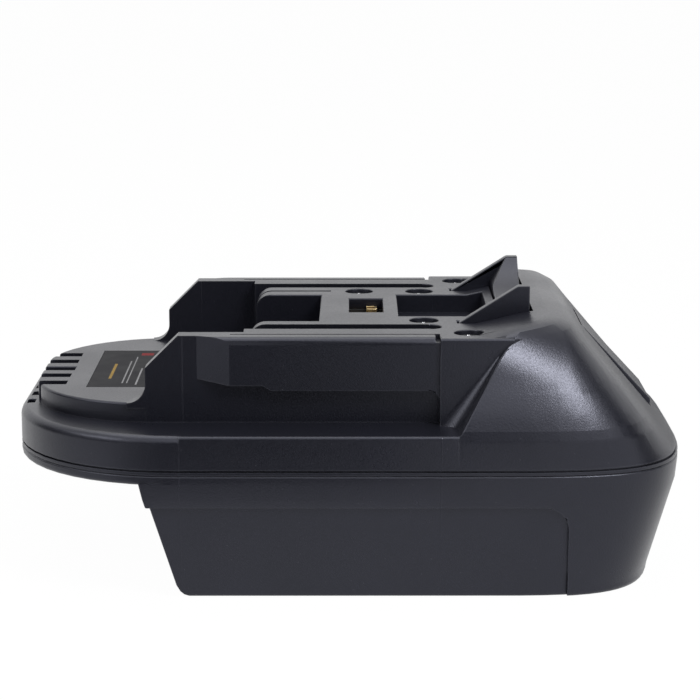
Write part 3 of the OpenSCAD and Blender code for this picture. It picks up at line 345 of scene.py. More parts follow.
class Finish:
    """A material being made: node() adds a node, and an input takes a value or another node's output."""

    def __init__(self, name):
        self.material = bpy.data.materials.new(name)
        self.material.use_nodes = True
        self.tree = self.material.node_tree
        self.shader = self.tree.nodes["Principled BSDF"]
        self.place = self.node("TexCoord").outputs["Object"]

    def feed(self, socket, value):
        """Links an output to an input, or sets the input's own value."""
        if isinstance(value, bpy.types.NodeSocket):
            self.tree.links.new(value, socket)
        else:
            socket.default_value = value

    def node(self, kind, inputs=None, **settings):
        """A new node of a kind, with its inputs fed and its settings made."""
        made = self.tree.nodes.new("ShaderNode" + kind)
        for key, value in settings.items():
            setattr(made, key, value)
        for key, value in (inputs or {}).items():
            self.feed(made.inputs[key], value)
        return made

    def set(self, **inputs):
        """Feeds the shader's inputs, with a low line for each space in a name."""
        for key, value in inputs.items():
            self.feed(self.shader.inputs[key.replace("_", " ")], value)

    def noise(self, scale, detail=2.0, rough=0.5):
        """Clouds, with so many to the metre."""
        made = self.node("TexNoise", {"Vector": self.place, "Scale": scale, "Detail": detail, "Roughness": rough})
        return made.outputs["Fac"]

    def math(self, operation, a, b=0.0):
        """Two values joined by an operation."""
        return self.node("Math", {0: a, 1: b}, operation=operation).outputs[0]

    def ramp(self, value, low, high, to_low=0.0, to_high=1.0):
        """A value drawn evenly from one range to another, and held at its ends."""
        names = ("Value", "From Min", "From Max", "To Min", "To Max")
        made = self.node("MapRange", dict(zip(names, (value, low, high, to_low, to_high))))
        return made.outputs["Result"]

    def mix(self, share_of_second, first, second):
        """A colour between two colours."""
        made = self.node("Mix", data_type="RGBA")
        self.feed(made.inputs[0], share_of_second)
        self.feed(made.inputs[6], first)
        self.feed(made.inputs[7], second)
        return made.outputs[2]

    def bump(self, height, depth, normal=None):
        """Normals bent by a height, on top of others if given."""
        made = self.node("Bump", {"Height": height, "Distance": depth, "Strength": 1.0})
        if normal is not None:
            self.feed(made.inputs["Normal"], normal)
        return made.outputs["Normal"]


def rgba(value, gain=1.0):
    """A colour made lighter or darker by a gain, and opaque."""
    return tuple(min(1.0, c * gain) for c in value) + (1.0,)


def moulded_plastic(name, tint, sizes):
    """Black moulding: spark-eroded grain, slow change of tone, pale flecks, and edges painted lighter, partly as
    handling wear and partly as a painted highlight.
    """
    f = Finish(name)
    clouds_per_metre, flecks_per_metre, rub_and_highlight_reach = 55.0, 420.0, 1.6 * sizes.edge
    ridge_half, ridge_soft, ridge_height = 0.00004, 0.00012, 0.00002
    grain = f.noise(1 / sizes.grain, 3.0, 0.55)
    cloud = f.noise(clouds_per_metre, 3.0)
    flecks = {"Vector": f.place, "Scale": flecks_per_metre}
    fleck = f.node("TexVoronoi", flecks, feature="F1").outputs["Distance"]
    fleck = f.ramp(fleck, 0.055, 0.03)
    rounded = f.node("Bevel", {"Radius": rub_and_highlight_reach}, samples=4).outputs["Normal"]
    plain = f.node("NewGeometry").outputs["Normal"]
    turn = f.node("VectorMath", {0: rounded, 1: plain}, operation="DOT_PRODUCT").outputs["Value"]
    # Edges are painted lighter by a rounded-normal mask: partly handling wear, partly a painted highlight.
    rub_and_painted_highlight = f.math("MULTIPLY", f.ramp(turn, 0.99, 0.8), f.ramp(cloud, 0.3, 0.7, 0.2, 0.7))
    tone = f.mix(f.ramp(cloud, 0.3, 0.7), rgba(tint, 0.85), rgba(tint, 1.18))
    tone = f.mix(f.math("MULTIPLY", fleck, 0.3), tone, rgba(sizes.rub_and_painted_highlight))
    tone = f.mix(f.math("MULTIPLY", rub_and_painted_highlight, 0.6), tone, rgba(sizes.rub_and_painted_highlight))
    spread = f.math("ADD", f.ramp(grain, 0.3, 0.7, -0.03, 0.04), f.ramp(cloud, 0.3, 0.7, 0.03, -0.03))
    f.set(Base_Color=tone, Roughness=f.math("ADD", spread, sizes.roughness))
    f.set(Specular_IOR_Level=0.5, Specular_Tint=rgba(sizes.sheen))
    x = f.node("SeparateXYZ", {"Vector": f.place}).outputs["X"]
    ridges = []
    for split in (sizes.split_one, sizes.split_two):
        away = f.math("ABSOLUTE", f.math("SUBTRACT", x, CAD_BOX[0][0] + split))
        ridges.append(f.ramp(away, ridge_soft, ridge_half))
    ridge = f.bump(f.math("MAXIMUM", *ridges), ridge_height)
    f.set(Normal=f.bump(grain, sizes.grain_depth, ridge))
    return f.material


def plain_moulding(name, tint, roughness, specular=0.35):
    """Small plain moulding with a faint flow pattern."""
    f = Finish(name)
    cloud = f.noise(160.0, 3.0)
    f.set(Base_Color=f.mix(f.ramp(cloud, 0.3, 0.7), rgba(tint, 0.85), rgba(tint, 1.2)))
    f.set(Roughness=f.ramp(cloud, 0.3, 0.7, roughness - 0.06, roughness + 0.06), Specular_IOR_Level=specular)
    f.set(Normal=f.bump(f.noise(2500.0), 0.00001))
    return f.material


def rolled_metal(name, tint, roughness, streak):
    """Metal with fine lines along one way: the pattern is drawn out by its own axis scale."""
    f = Finish(name)
    drawn = f.node("Mapping", {"Vector": f.place, "Scale": streak}).outputs["Vector"]
    lines = f.node("TexNoise", {"Vector": drawn, "Scale": 900.0, "Detail": 2.0}).outputs["Fac"]
    tarnish = f.noise(140.0, 3.0)
    f.set(Base_Color=f.mix(f.ramp(tarnish, 0.35, 0.75), rgba(tint), rgba(tint, 0.72)), Metallic=1.0)
    f.set(Roughness=f.math("ADD", f.ramp(lines, 0.3, 0.7, -0.07, 0.07), roughness))
    f.set(Normal=f.bump(lines, 0.000006))
    return f.material


def insulation(name, tint):
    """Soft lead insulation: a slightly uneven sheen over an extruded skin."""
    f = Finish(name)
    cloud = f.noise(500.0, 2.0)
    f.set(Base_Color=f.mix(f.ramp(cloud, 0.3, 0.7), rgba(tint, 0.9), rgba(tint, 1.1)))
    f.set(Roughness=f.ramp(cloud, 0.3, 0.7, 0.34, 0.46), Normal=f.bump(cloud, 0.00002))
    return f.material


# Pieces

def dress(node, finish, edge):
    """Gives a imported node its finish, joins its loose triangles, rounds its edges and evens its shading."""
    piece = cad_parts[node]
    piece.data.materials.clear()
    piece.data.materials.append(finish)
    weld = piece.modifiers.new("Join", "WELD")
    weld.merge_threshold = SAME_POINT
    flat = piece.modifiers.new("Flat faces", "DECIMATE")
    flat.decimate_type = "DISSOLVE"
    flat.angle_limit = FLAT_TURN
    rounding = piece.modifiers.new("Edges", "BEVEL")
    rounding.width = edge
    rounding.segments = 2
    rounding.limit_method = "ANGLE"
    rounding.angle_limit = math.radians(32)
    rounding.use_clamp_overlap = False
    rounding.harden_normals = False
    rounding.miter_outer = "MITER_ARC"
    smooth(piece.data)
    even = piece.modifiers.new("Shading", "WEIGHTED_NORMAL")
    even.keep_sharp = False
    even.weight = 50
    return piece


def stand_in(piece, node, body):
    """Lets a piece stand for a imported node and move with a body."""
    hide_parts(node)
    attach(piece, body)


def plain_copy(node, name):
    """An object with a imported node's form, its triangles merged into flat faces."""
    work = bmesh.new()
    work.from_mesh(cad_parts[node].data)
    bmesh.ops.remove_doubles(work, verts=work.verts, dist=SAME_POINT)
    bmesh.ops.dissolve_limit(work, angle_limit=FLAT_TURN, verts=work.verts, edges=work.edges)
    mesh = bpy.data.meshes.new(name)
    work.to_mesh(mesh)
    work.free()
    if "custom_normal" in mesh.attributes:
        mesh.attributes.remove(mesh.attributes["custom_normal"])
    smooth(mesh)
    return put_in_scene(name, mesh)


def weigh_edges(mesh, sizes):
    """Marks sharp edges, and weighs each outer one by the share of the edge radius that has room: an edge that
    runs on nearly straight has all of it, and one at a corner a third of the corner's shortest edge."""
    work = bmesh.new()
    work.from_mesh(mesh)
    weight = work.edges.layers.float.new("bevel_weight_edge")
    room = {}
    for corner in work.verts:
        sharp = [e for e in corner.link_edges if e.is_manifold and e.calc_face_angle() > SHARP_TURN]
        ways = [(e.other_vert(corner).co - corner.co).normalized() for e in sharp]
        straight = len(ways) == 2 and ways[0].dot(ways[1]) < -0.8
        room[corner] = 1.0 if straight else min((e.calc_length() for e in sharp), default=0.0)
    for e in work.edges:
        e.smooth = not e.is_manifold or e.calc_face_angle() <= SHARP_TURN
        if e.smooth or not e.is_convex:
            continue
        at_seam = max(abs(v.co.z - sizes.seam) for v in e.verts) < sizes.seam_reach
        full = sizes.seam_edge / sizes.edge if at_seam else 1.0
        fits = min(full, 0.35 * min(room[v] for v in e.verts) / sizes.edge)
        e[weight] = fits if fits > 0.12 else 0.0
        e.smooth = e[weight] > 0
    work.to_mesh(mesh)
    work.free()


def stray_points(piece, width):
    """Where the rounding has gone wrong: points of the rounded form that lie farther from the plain form than the
    rounding can reach, and the middles of faces that it has turned over."""
    plain = BVHTree.FromPolygons([v.co for v in piece.data.vertices], [p.vertices for p in piece.data.polygons])
    seen = piece.evaluated_get(bpy.context.evaluated_depsgraph_get())
    mesh = seen.to_mesh()
    far = [v.co.copy() for v in mesh.vertices if plain.find_nearest(v.co)[3] > 0.75 * width]
    middles = [(p.center.copy(), p.normal.copy()) for p in mesh.polygons if p.area > NO_LENGTH]
    turned = [centre for centre, way in middles if plain.find_nearest(centre)[1].dot(way) < -0.2]
    seen.to_mesh_clear()
    return np.array(far + turned).reshape(-1, 3)


def without_slivers(mesh):
    """Merges a mesh's doubled points and removes its faces and edges that have no size."""
    work = bmesh.new()
    work.from_mesh(mesh)
    bmesh.ops.remove_doubles(work, verts=work.verts, dist=SAME_POINT)
    bmesh.ops.dissolve_degenerate(work, edges=work.edges, dist=SAME_POINT)
    work.to_mesh(mesh)
    work.free()
    return mesh


def round_edges(piece, sizes):
    """Rounds the weighed edges, and leaves those sharp beside which the rounding would stray."""
    weigh_edges(piece.data, sizes)
    rounding = piece.modifiers.new("Edges", "BEVEL")
    rounding.width = sizes.edge
    rounding.segments = 2
    rounding.limit_method = "WEIGHT"
    rounding.use_clamp_overlap = False
    mesh = piece.data
    places = read(mesh.vertices, "co", 3)
    first, second = np.swapaxes(places[read(mesh.edges, "vertices", 2, np.int32)], 0, 1)
    along_edge = second - first
    for _ in range(ROUNDING_PASSES):
        strays = stray_points(piece, sizes.edge)
        if not len(strays):
            break
        weights = mesh.attributes["bevel_weight_edge"].data
        share_of_radius = read(weights, "value", 1, np.float32)
        sharp = read(mesh.edges, "use_edge_sharp", 1, bool)
        offset = strays[:, None] - first
        length_squared = np.maximum((along_edge ** 2).sum(-1), NO_LENGTH)
        share_on = np.clip((offset * along_edge).sum(-1) / length_squared, 0, 1)
        apart = np.linalg.norm(offset - share_on[..., None] * along_edge, axis=-1)
        apart[:, share_of_radius <= 0] = np.inf
        near = (apart < np.maximum(3 * sizes.edge, 1.2 * apart.min(axis=1, keepdims=True))).any(axis=0)
        mesh.edges.foreach_set("use_edge_sharp", sharp | near)
        weights.foreach_set("value", np.where(near, 0, share_of_radius).astype(np.float32))
        mesh.update()
    rounded = bpy.data.meshes.new_from_object(piece.evaluated_get(bpy.context.evaluated_depsgraph_get()))
    piece.modifiers.remove(rounding)
    piece.data = without_slivers(rounded)


def past_skin(x, y, sizes):
    """How far places lie beyond the inner border of the hood's skin, which is nearer the middle past the hips'
    start, where it takes in the rounding above the sides."""
    return abs(y) - sizes.shoulder + np.where(x > sizes.hip_x, sizes.hip_round, 0)


def on_skin(mesh, sizes):
    """Which faces of a mesh lie on the skin of the hood's sides: beyond the shoulders, facing out and not up."""
    x, y, z = read(mesh.polygons, "center", 3).T
    to_end, out, up = read(mesh.polygons, "normal", 3).T
    beyond = (past_skin(x, y, sizes) > 0) & (x > sizes.hip_x - sizes.hip_reach) & (y * out > 0)
    return beyond & (z > sizes.hip_foot) & (z < sizes.hip_top) & (to_end > SKIN_BACK) & (up < SKIN_UP)


def cut_skin(mesh, sizes):
    """Cuts the skin of the hood's sides at even steps along X and Z, so that its shading can turn within a face."""
    skin = np.flatnonzero(on_skin(mesh, sizes))
    work = bmesh.new()
    work.from_mesh(mesh)
    work.faces.ensure_lookup_table()
    faces = [work.faces[i] for i in skin]
    cut = list({part for face in faces for part in (face, *face.edges, *face.verts)})
    first, last = (sizes.hip_x - sizes.hip_reach, sizes.hip_foot), (CAD_BOX[1][0], sizes.hip_top)
    for way, low, high in zip(((1, 0, 0), (0, 0, 1)), first, last):
        for place in np.arange(low, high, sizes.hip_step) if faces else ():
            cut = bmesh.ops.bisect_plane(work, geom=cut, plane_co=Vector(way) * place, plane_no=way)["geom"]
    work.to_mesh(mesh)
    work.free()


def softened(normals, point, ends, skin, fade, passes):
    """Normals in which those at the skin's corners are, pass by pass, the mean of a point's and its neighbours',
    with each corner's share of that given by fade."""
    soft = np.zeros((ends.max() + 1, 3))
    np.add.at(soft, point[skin], normals[skin])
    pairs = ends[np.isin(ends, point[skin]).all(axis=1)]
    for _ in range(passes):
        soft = unit(soft)
        spread = soft.copy()
        np.add.at(spread, pairs[:, 0], soft[pairs[:, 1]])
        np.add.at(spread, pairs[:, 1], soft[pairs[:, 0]])
        soft = spread
    return unit(normals + (unit(soft)[point] - normals) * (skin * fade)[:, None])


def hipped(points, normals, skin, sizes):
    """Shading of the hood's sides as on sides that round over into the end along a hip: on the skin a normal
    turns to the end by no less than hip_turn + hip_rate d, where d is the distance past the hip's line, which
    falls from hip_x, hip_z by hip_fall for each unit along X."""
    x, y, z = points.T
    past = ((x - sizes.hip_x) * sizes.hip_fall + z - sizes.hip_z) / math.hypot(1, sizes.hip_fall)
    least = sizes.hip_turn + sizes.hip_rate / MM * past
    level = np.hypot(normals[:, 0], normals[:, 1])
    turn = np.arctan2(normals[:, 0], abs(normals[:, 1]))
    late = skin & (least > turn)
    hip = np.column_stack([level * np.sin(least), np.sign(y) * level * np.cos(least), normals[:, 2]])
    return np.where(late[:, None], hip, normals)


def even_shading(mesh, sizes):
    """Sets the normal of each face corner: the mean, weighted by area, of the faces round its point that turn
    from its face by less than FACE_TURN, or by less than STRIP_TURN where one of the two is a narrow strip. On
    the hood's sides the result is then softened and hipped."""
    way, area = read(mesh.polygons, "normal", 3), read(mesh.polygons, "area")
    starts, sides = (read(mesh.polygons, key, 1, np.int32) for key in ("loop_start", "loop_total"))
    point, edge = (read(mesh.loops, key, 1, np.int32) for key in ("vertex_index", "edge_index"))
    places, ends = read(mesh.vertices, "co", 3), read(mesh.edges, "vertices", 2, np.int32)
    first, second = np.swapaxes(places[ends], 0, 1)
    round_face = np.add.reduceat(np.linalg.norm(second - first, axis=1)[edge], starts)
    skin = on_skin(mesh, sizes)
    narrow = (2 * area / round_face < STRIP_WIDTH) & ~skin
    face = np.repeat(np.arange(len(sides)), sides)
    order = np.argsort(point, kind="stable")
    low = np.searchsorted(point[order], point[order], "left")
    count = np.searchsorted(point[order], point[order], "right") - low
    here = np.repeat(order, count)
    step = np.arange(count.sum()) - np.repeat(np.cumsum(count) - count, count)
    there = order[np.repeat(low, count) + step]
    turn = (way[face[here]] * way[face[there]]).sum(axis=1)
    strip = narrow[face[here]] | narrow[face[there]]
    joined = turn > np.where(strip, math.cos(STRIP_TURN), math.cos(FACE_TURN))
    total = np.zeros((len(point), 3))
    np.add.at(total, here, (joined * area[face[there]])[:, None] * way[face[there]])
    total = unit(total)
    corner = places[point]
    fade = np.clip(past_skin(corner[:, 0], corner[:, 1], sizes) / sizes.hip_fade, 0, 1)
    fade = fade * np.clip((corner[:, 2] - sizes.hip_foot) / (2 * sizes.hip_fade), 0, 1)
    total = softened(total, point, ends, skin[face], fade, sizes.hip_passes)
    total = hipped(corner, total, skin[face], sizes)
    smooth(mesh)
    mesh.normals_split_custom_set(total.tolist())


def mould(node, name, body, finish, sizes):
    """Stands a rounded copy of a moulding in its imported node's place."""
    piece = plain_copy(node, name)
    piece.data.materials.append(finish)
    round_edges(piece, sizes)
    cut_skin(piece.data, sizes)
    even_shading(piece.data, sizes)
    stand_in(piece, node, body)


class ADAPTER_OT_housings(Operator):
    """Mould both halves of the housing"""

    bl_idname = "adapter.housings"
    bl_label = "Housings"

    def execute(self, context):
        sizes = context.scene.adapter_mouldings
        plastic = moulded_plastic("black shell", sizes.shell, sizes)
        mould("upper_housing", "moulded_upper_housing", "housing", plastic, sizes)
        mould("lower_housing", "moulded_lower_housing", "housing", plastic, sizes)
        return {"FINISHED"}


class ADAPTER_OT_latch(Operator):
    """Mould the release latch"""

    bl_idname = "adapter.latch"
    bl_label = "Release latch"

    def execute(self, context):
        sizes = context.scene.adapter_mouldings
        plastic = moulded_plastic("black latch", sizes.latch, sizes)
        mould("release_latch", "moulded_release_latch", "latch", plastic, sizes)
        return {"FINISHED"}


class ADAPTER_OT_blocks(Operator):
    """Finish the two terminal blocks"""

    bl_idname = "adapter.blocks"
    bl_label = "Terminal blocks"

    def execute(self, context):
        sizes = context.scene.adapter_mouldings
        plastic = plain_moulding("block plastic", sizes.block, 0.5)
        for node in ("tool_terminal_block", "battery_terminal_block"):
            dress(node, plastic, sizes.fine_edge)
        return {"FINISHED"}


class ADAPTER_OT_contacts(Operator):
    """Finish the brass contacts and blades"""

    bl_idname = "adapter.contacts"
    bl_label = "Contacts and blades"

    def execute(self, context):
        metals = context.scene.adapter_metals
        brass = rolled_metal("rolled brass", metals.brass, 0.28, (0.08, 1.0, 1.0))
        for kind in ("tool_contact", "battery_blade"):
            for pole in ("positive", "negative", "signal"):
                dress(f"{kind}_{pole}", brass, metals.contact_edge)
        return {"FINISHED"}


class ADAPTER_OT_springs(Operator):
    """Wind the two latch springs"""

    bl_idname = "adapter.springs"
    bl_label = "Latch springs"

    def execute(self, context):
        metals = context.scene.adapter_metals
        low, high = (np.array(corner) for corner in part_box("latch_springs"))
        outer = high[0] - low[0]
        radius = (outer - metals.wire) / 2
        middle = (low[0] + high[0]) / 2
        rows = metals.turns * 40 + 1
        # The wire's middle goes round once a turn and climbs by the pitch, which opens softly from both ends.
        closed_turns, closed_pitch, open_more = 0.6, 0.3, 0.7
        turn = np.linspace(0, metals.turns, rows)
        opened = np.clip(np.minimum(turn, metals.turns - turn) - closed_turns, 0, 1)
        pitch = closed_pitch + open_more * opened ** 2 * (3 - 2 * opened)
        climb = np.concatenate([[0], np.cumsum((pitch[1:] + pitch[:-1]) / 2)])
        height = low[2] + metals.wire / 2 + climb / climb[-1] * (high[2] - low[2] - metals.wire)
        angle = 2 * np.pi * turn
        parts = []
        for y in (low[1] + outer / 2, high[1] - outer / 2):
            path = np.stack([middle + radius * np.cos(angle), y + radius * np.sin(angle), height], axis=1)
            parts.append(along(path, np.full(rows, metals.wire / 2), 12))
        steel = rolled_metal("spring steel", metals.steel, 0.3, (1.0, 1.0, 0.1))
        springs = build_piece("wound_springs", parts, [steel])
        stand_in(springs, "latch_springs", "housing")
        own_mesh(springs)
        return {"FINISHED"}


class ADAPTER_OT_board(Operator):
    """Finish the circuit board and what is soldered to it"""

    bl_idname = "adapter.board"
    bl_label = "Circuit board"

    def execute(self, context):
        wiring = context.scene.adapter_wiring
        metals = context.scene.adapter_metals
        mask = plain_moulding("solder mask", wiring.mask, 0.3)
        package = plain_moulding("component package", wiring.package, 0.45)
        sink = rolled_metal("extruded aluminium", metals.aluminium, 0.38, (0.05, 1.0, 1.0))
        can = rolled_metal("capacitor can", metals.aluminium, 0.25, (1.0, 1.0, 0.1))
        dress("circuit_board", mask, wiring.board_edge)
        for node in ("power_transistors", "control_chip", "board_resistors"):
            dress(node, package, wiring.package_edge)
        dress("heat_sink", sink, wiring.board_edge)
        dress("filter_capacitor", can, wiring.can_edge)
        return {"FINISHED"}


class ADAPTER_OT_leads(Operator):
    """Lay the leads between the board, the contacts and the blades"""

    bl_idname = "adapter.leads"
    bl_label = "Leads"

    def input_route(self, side):
        """A power lead's points in millimetres, from the board along the floor to a battery blade."""
        y, blade_y = side * 18.4, side * 21.0
        return [
            (-26, y, 27.7), (-23, y, 27.7), (-15, y, 27.1), (0, blade_y, 26.9), (20, blade_y, 26.9),
            (33.9, blade_y, 26.8), (38.9, blade_y, 26.8),
        ]

    def output_route(self, y, contact_y):
        """A lead's points in millimetres, from the board up to a tool contact's tail."""
        return [
            (-26, y, 27.7), (-23, y, 27.7), (-15, y, 27.3), (-3, contact_y, 29.6), (2, contact_y, 29.6),
            (5, contact_y, 29.6),
        ]

    def execute(self, context):
        wiring = context.scene.adapter_wiring
        metals = context.scene.adapter_metals
        tinned = rolled_metal("tinned conductor", metals.steel, 0.35, (1.0, 1.0, 1.0))
        red = insulation("red insulation", wiring.red)
        black = insulation("black insulation", wiring.black)
        yellow = insulation("yellow insulation", wiring.yellow)
        runs = {
            "positive_input_lead": (self.input_route(1), red, "lead_red"),
            "negative_input_lead": (self.input_route(-1), black, "lead_black"),
            "positive_output_lead": (self.output_route(5, 5.5), red, "lead_red"),
            "negative_output_lead": (self.output_route(-9, -12.5), black, "lead_black"),
            "signal_lead": (self.output_route(-2, -3.5), yellow, "lead_yellow"),
        }
        sides = 16
        for node, (route, skin, slot) in runs.items():
            path = through(np.array(route) * MM, 16)
            gone = np.concatenate([[0], np.cumsum(np.linalg.norm(np.diff(path, axis=0), axis=1))])
            bare = np.minimum(gone, gone[-1] - gone) < wiring.strip
            # The radius is the insulation's, and over the stripped ends the conductor's.
            radii = np.where(bare, 0.3, 0.5) * wiring.lead
            points, faces = along(path, radii, sides)
            ends = np.concatenate([[True], bare, [True]])
            marks = np.repeat((ends[:-1] & ends[1:]).astype(int), sides)
            lead = build_piece("insulated_" + node, [(points, faces)], [skin, tinned], marks)
            stand_in(lead, node, "housing")
        return {"FINISHED"}


class ADAPTER_OT_screws(Operator):
    """Cut the heads and threads of the screws"""

    bl_idname = "adapter.screws"
    bl_label = "Screws"

    def head(self, radius, height):
        """A pan head with a cross. Its top is a square grid (s, t) drawn out to a disc, x = s sqrt(1 - t t / 2) and
        y = t sqrt(1 - s s / 2), which falls by a dome and by the cross, whose arms are soft steps in x and y."""
        s, t = np.meshgrid(*[np.linspace(-1, 1, 49)] * 2, indexing="ij")
        x, y = s * np.sqrt(1 - t * t / 2), t * np.sqrt(1 - s * s / 2)
        across = np.hypot(x, y)
        arm_half, arm_reach, hub, softness, dome, top_share = 0.15, 0.62, 0.24, 0.022, 0.16, 0.96

        def step(room):
            return 1 / (1 + np.exp(-room / softness))

        arm_x = step(arm_half - abs(x)) * step(arm_reach - abs(y))
        arm_y = step(arm_half - abs(y)) * step(arm_reach - abs(x))
        cross = np.maximum(np.maximum(arm_x, arm_y), step(hub - across))
        fall = dome * across ** 2 + cross * (0.75 - 0.5 * np.minimum(across, 1))
        top = np.stack([top_share * radius * x, top_share * radius * y, -height * fall], axis=-1)
        edge = rim(top)
        out = edge[:, :2] / top_share
        rings = [
            edge,
            np.column_stack([out, np.full(len(out), -0.24 * height)]),
            np.column_stack([out, np.full(len(out), -height)]),
            np.column_stack([0 * out, np.full(len(out), -height)]),
        ]
        worn = (cross[1:, 1:] + cross[:-1, 1:] + cross[1:, :-1] + cross[:-1, :-1]).ravel() > 1.0
        return [sheet(top), ring_stack(rings)], worn.astype(int)

    def thread(self, radius, start, end, pitch):
        """A threaded shank: at height z and angle a its radius is the core's, plus the thread's depth times
        |2 frac(z / pitch - a / 2 pi) - 1|, drawn in over the last pitch."""
        turn = np.linspace(0, 2 * np.pi, 24, endpoint=False)
        z, a = np.meshgrid(np.arange(start, end, -pitch / 8), turn, indexing="ij")
        ridge = abs(2 * ((z / pitch - a / (2 * np.pi)) % 1) - 1)
        r = radius * (0.8 + 0.2 * ridge) * np.clip((z - end) / pitch + 0.35, 0, 1)
        rings = np.stack([r * np.cos(a), r * np.sin(a), z], axis=-1)
        poles = [np.repeat([[[0, 0, h]]], 24, axis=1) for h in (start, end)]
        return ring_stack(np.concatenate([poles[0], rings, poles[1]]))

    def execute(self, context):
        metals = context.scene.adapter_metals
        oxide = rolled_metal("black oxide", metals.oxide, 0.4, (1.0, 1.0, 1.0))
        plated = rolled_metal("plated steel", metals.steel, 0.3, (1.0, 1.0, 1.0))
        bright = rolled_metal("driven steel", metals.driven, 0.42, (1.0, 1.0, 1.0))
        housing = (metals.screw_head, metals.screw, metals.screw_pitch, oxide, "screw_black")
        board = (metals.board_screw_head, metals.board_screw, metals.board_screw_pitch, plated, "screw_steel")
        kinds = {
            "tower_screws": (1, *housing),
            "hood_screws": (1, *housing),
            "flange_screws": (-1, *housing),
            "board_screws": (1, *board),
        }
        for node, (up, head, shank, pitch, finish, slot) in kinds.items():
            parts, marks = [], []
            for low, high in solid_boxes(node):
                size = high - low
                place = np.array([*(low + high)[:2] / 2, high[2] if up > 0 else low[2]])
                made, worn = self.head(size[0] / 2, head)
                made.append(self.thread(shank / 2, -0.5 * head, -size[2], pitch))
                parts += [(place + points * (1, 1, up), faces) for points, faces in made]
                marks += [worn] + [np.zeros(len(faces), int) for _, faces in made[1:]]
            screws = build_piece("threaded_" + node, parts, [finish, bright], np.concatenate(marks))
            keep_crisp(screws)
            stand_in(screws, node, "housing")
        return {"FINISHED"}


class ADAPTER_OT_label(Operator):
    """Print plain bars on the label"""

    bl_idname = "adapter.label"
    bl_label = "Label"

    amber_bars = ((0.3, 0.22, 0.35, 0.62),)
    pale_bars = ((0.56, 0.1, 0.585, 0.7), (0.64, 0.1, 0.66, 0.82), (0.8, 0.06, 0.83, 0.5))
    red_bars = ((0.7, 0.86, 0.92, 0.93),)

    def execute(self, context):
        tints = context.scene.adapter_label
        low, high = (np.array(corner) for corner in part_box("label_plate"))
        groups = (self.amber_bars, self.pale_bars, self.red_bars)
        bars = np.concatenate(groups)
        ink = np.repeat([1, 2, 3], [len(group) for group in groups])
        # The top is a flat grid cut at the bars' sides, and a cell inside a bar takes its ink.
        xs = np.unique(np.concatenate([[0, 1], bars[:, 0], bars[:, 2]]))
        ys = np.unique(np.concatenate([[0, 1], bars[:, 1], bars[:, 3]]))
        shares = np.stack([*np.meshgrid(xs, ys, indexing="ij"), np.ones((len(xs), len(ys)))], axis=-1)
        top = low + shares * (high - low)
        x, y = np.meshgrid((xs[1:] + xs[:-1]) / 2, (ys[1:] + ys[:-1]) / 2, indexing="ij")
        x, y = x.reshape(-1, 1), y.reshape(-1, 1)
        inside = (x > bars[:, 0]) & (x < bars[:, 2]) & (y > bars[:, 1]) & (y < bars[:, 3])
        edge = rim(top)
        middle = np.repeat([(low + high) / 2 * (1, 1, 0) + (0, 0, low[2])], len(edge), axis=0)
        under = ring_stack([edge, edge * (1, 1, 0) + (0, 0, low[2]), middle])
        marks = np.concatenate([(inside * ink).sum(axis=1), np.zeros(len(under[1]), int)])
        inks = {"label film": tints.film, "amber ink": tints.amber, "pale ink": tints.pale, "red ink": tints.red}
        finishes = [plain_moulding(name, tint, roughness=0.6, specular=0.06) for name, tint in inks.items()]
        label = build_piece("barred_label_plate", [sheet(top), under], finishes, marks)
        keep_crisp(label)
        stand_in(label, "label_plate", "housing")
        return {"FINISHED"}


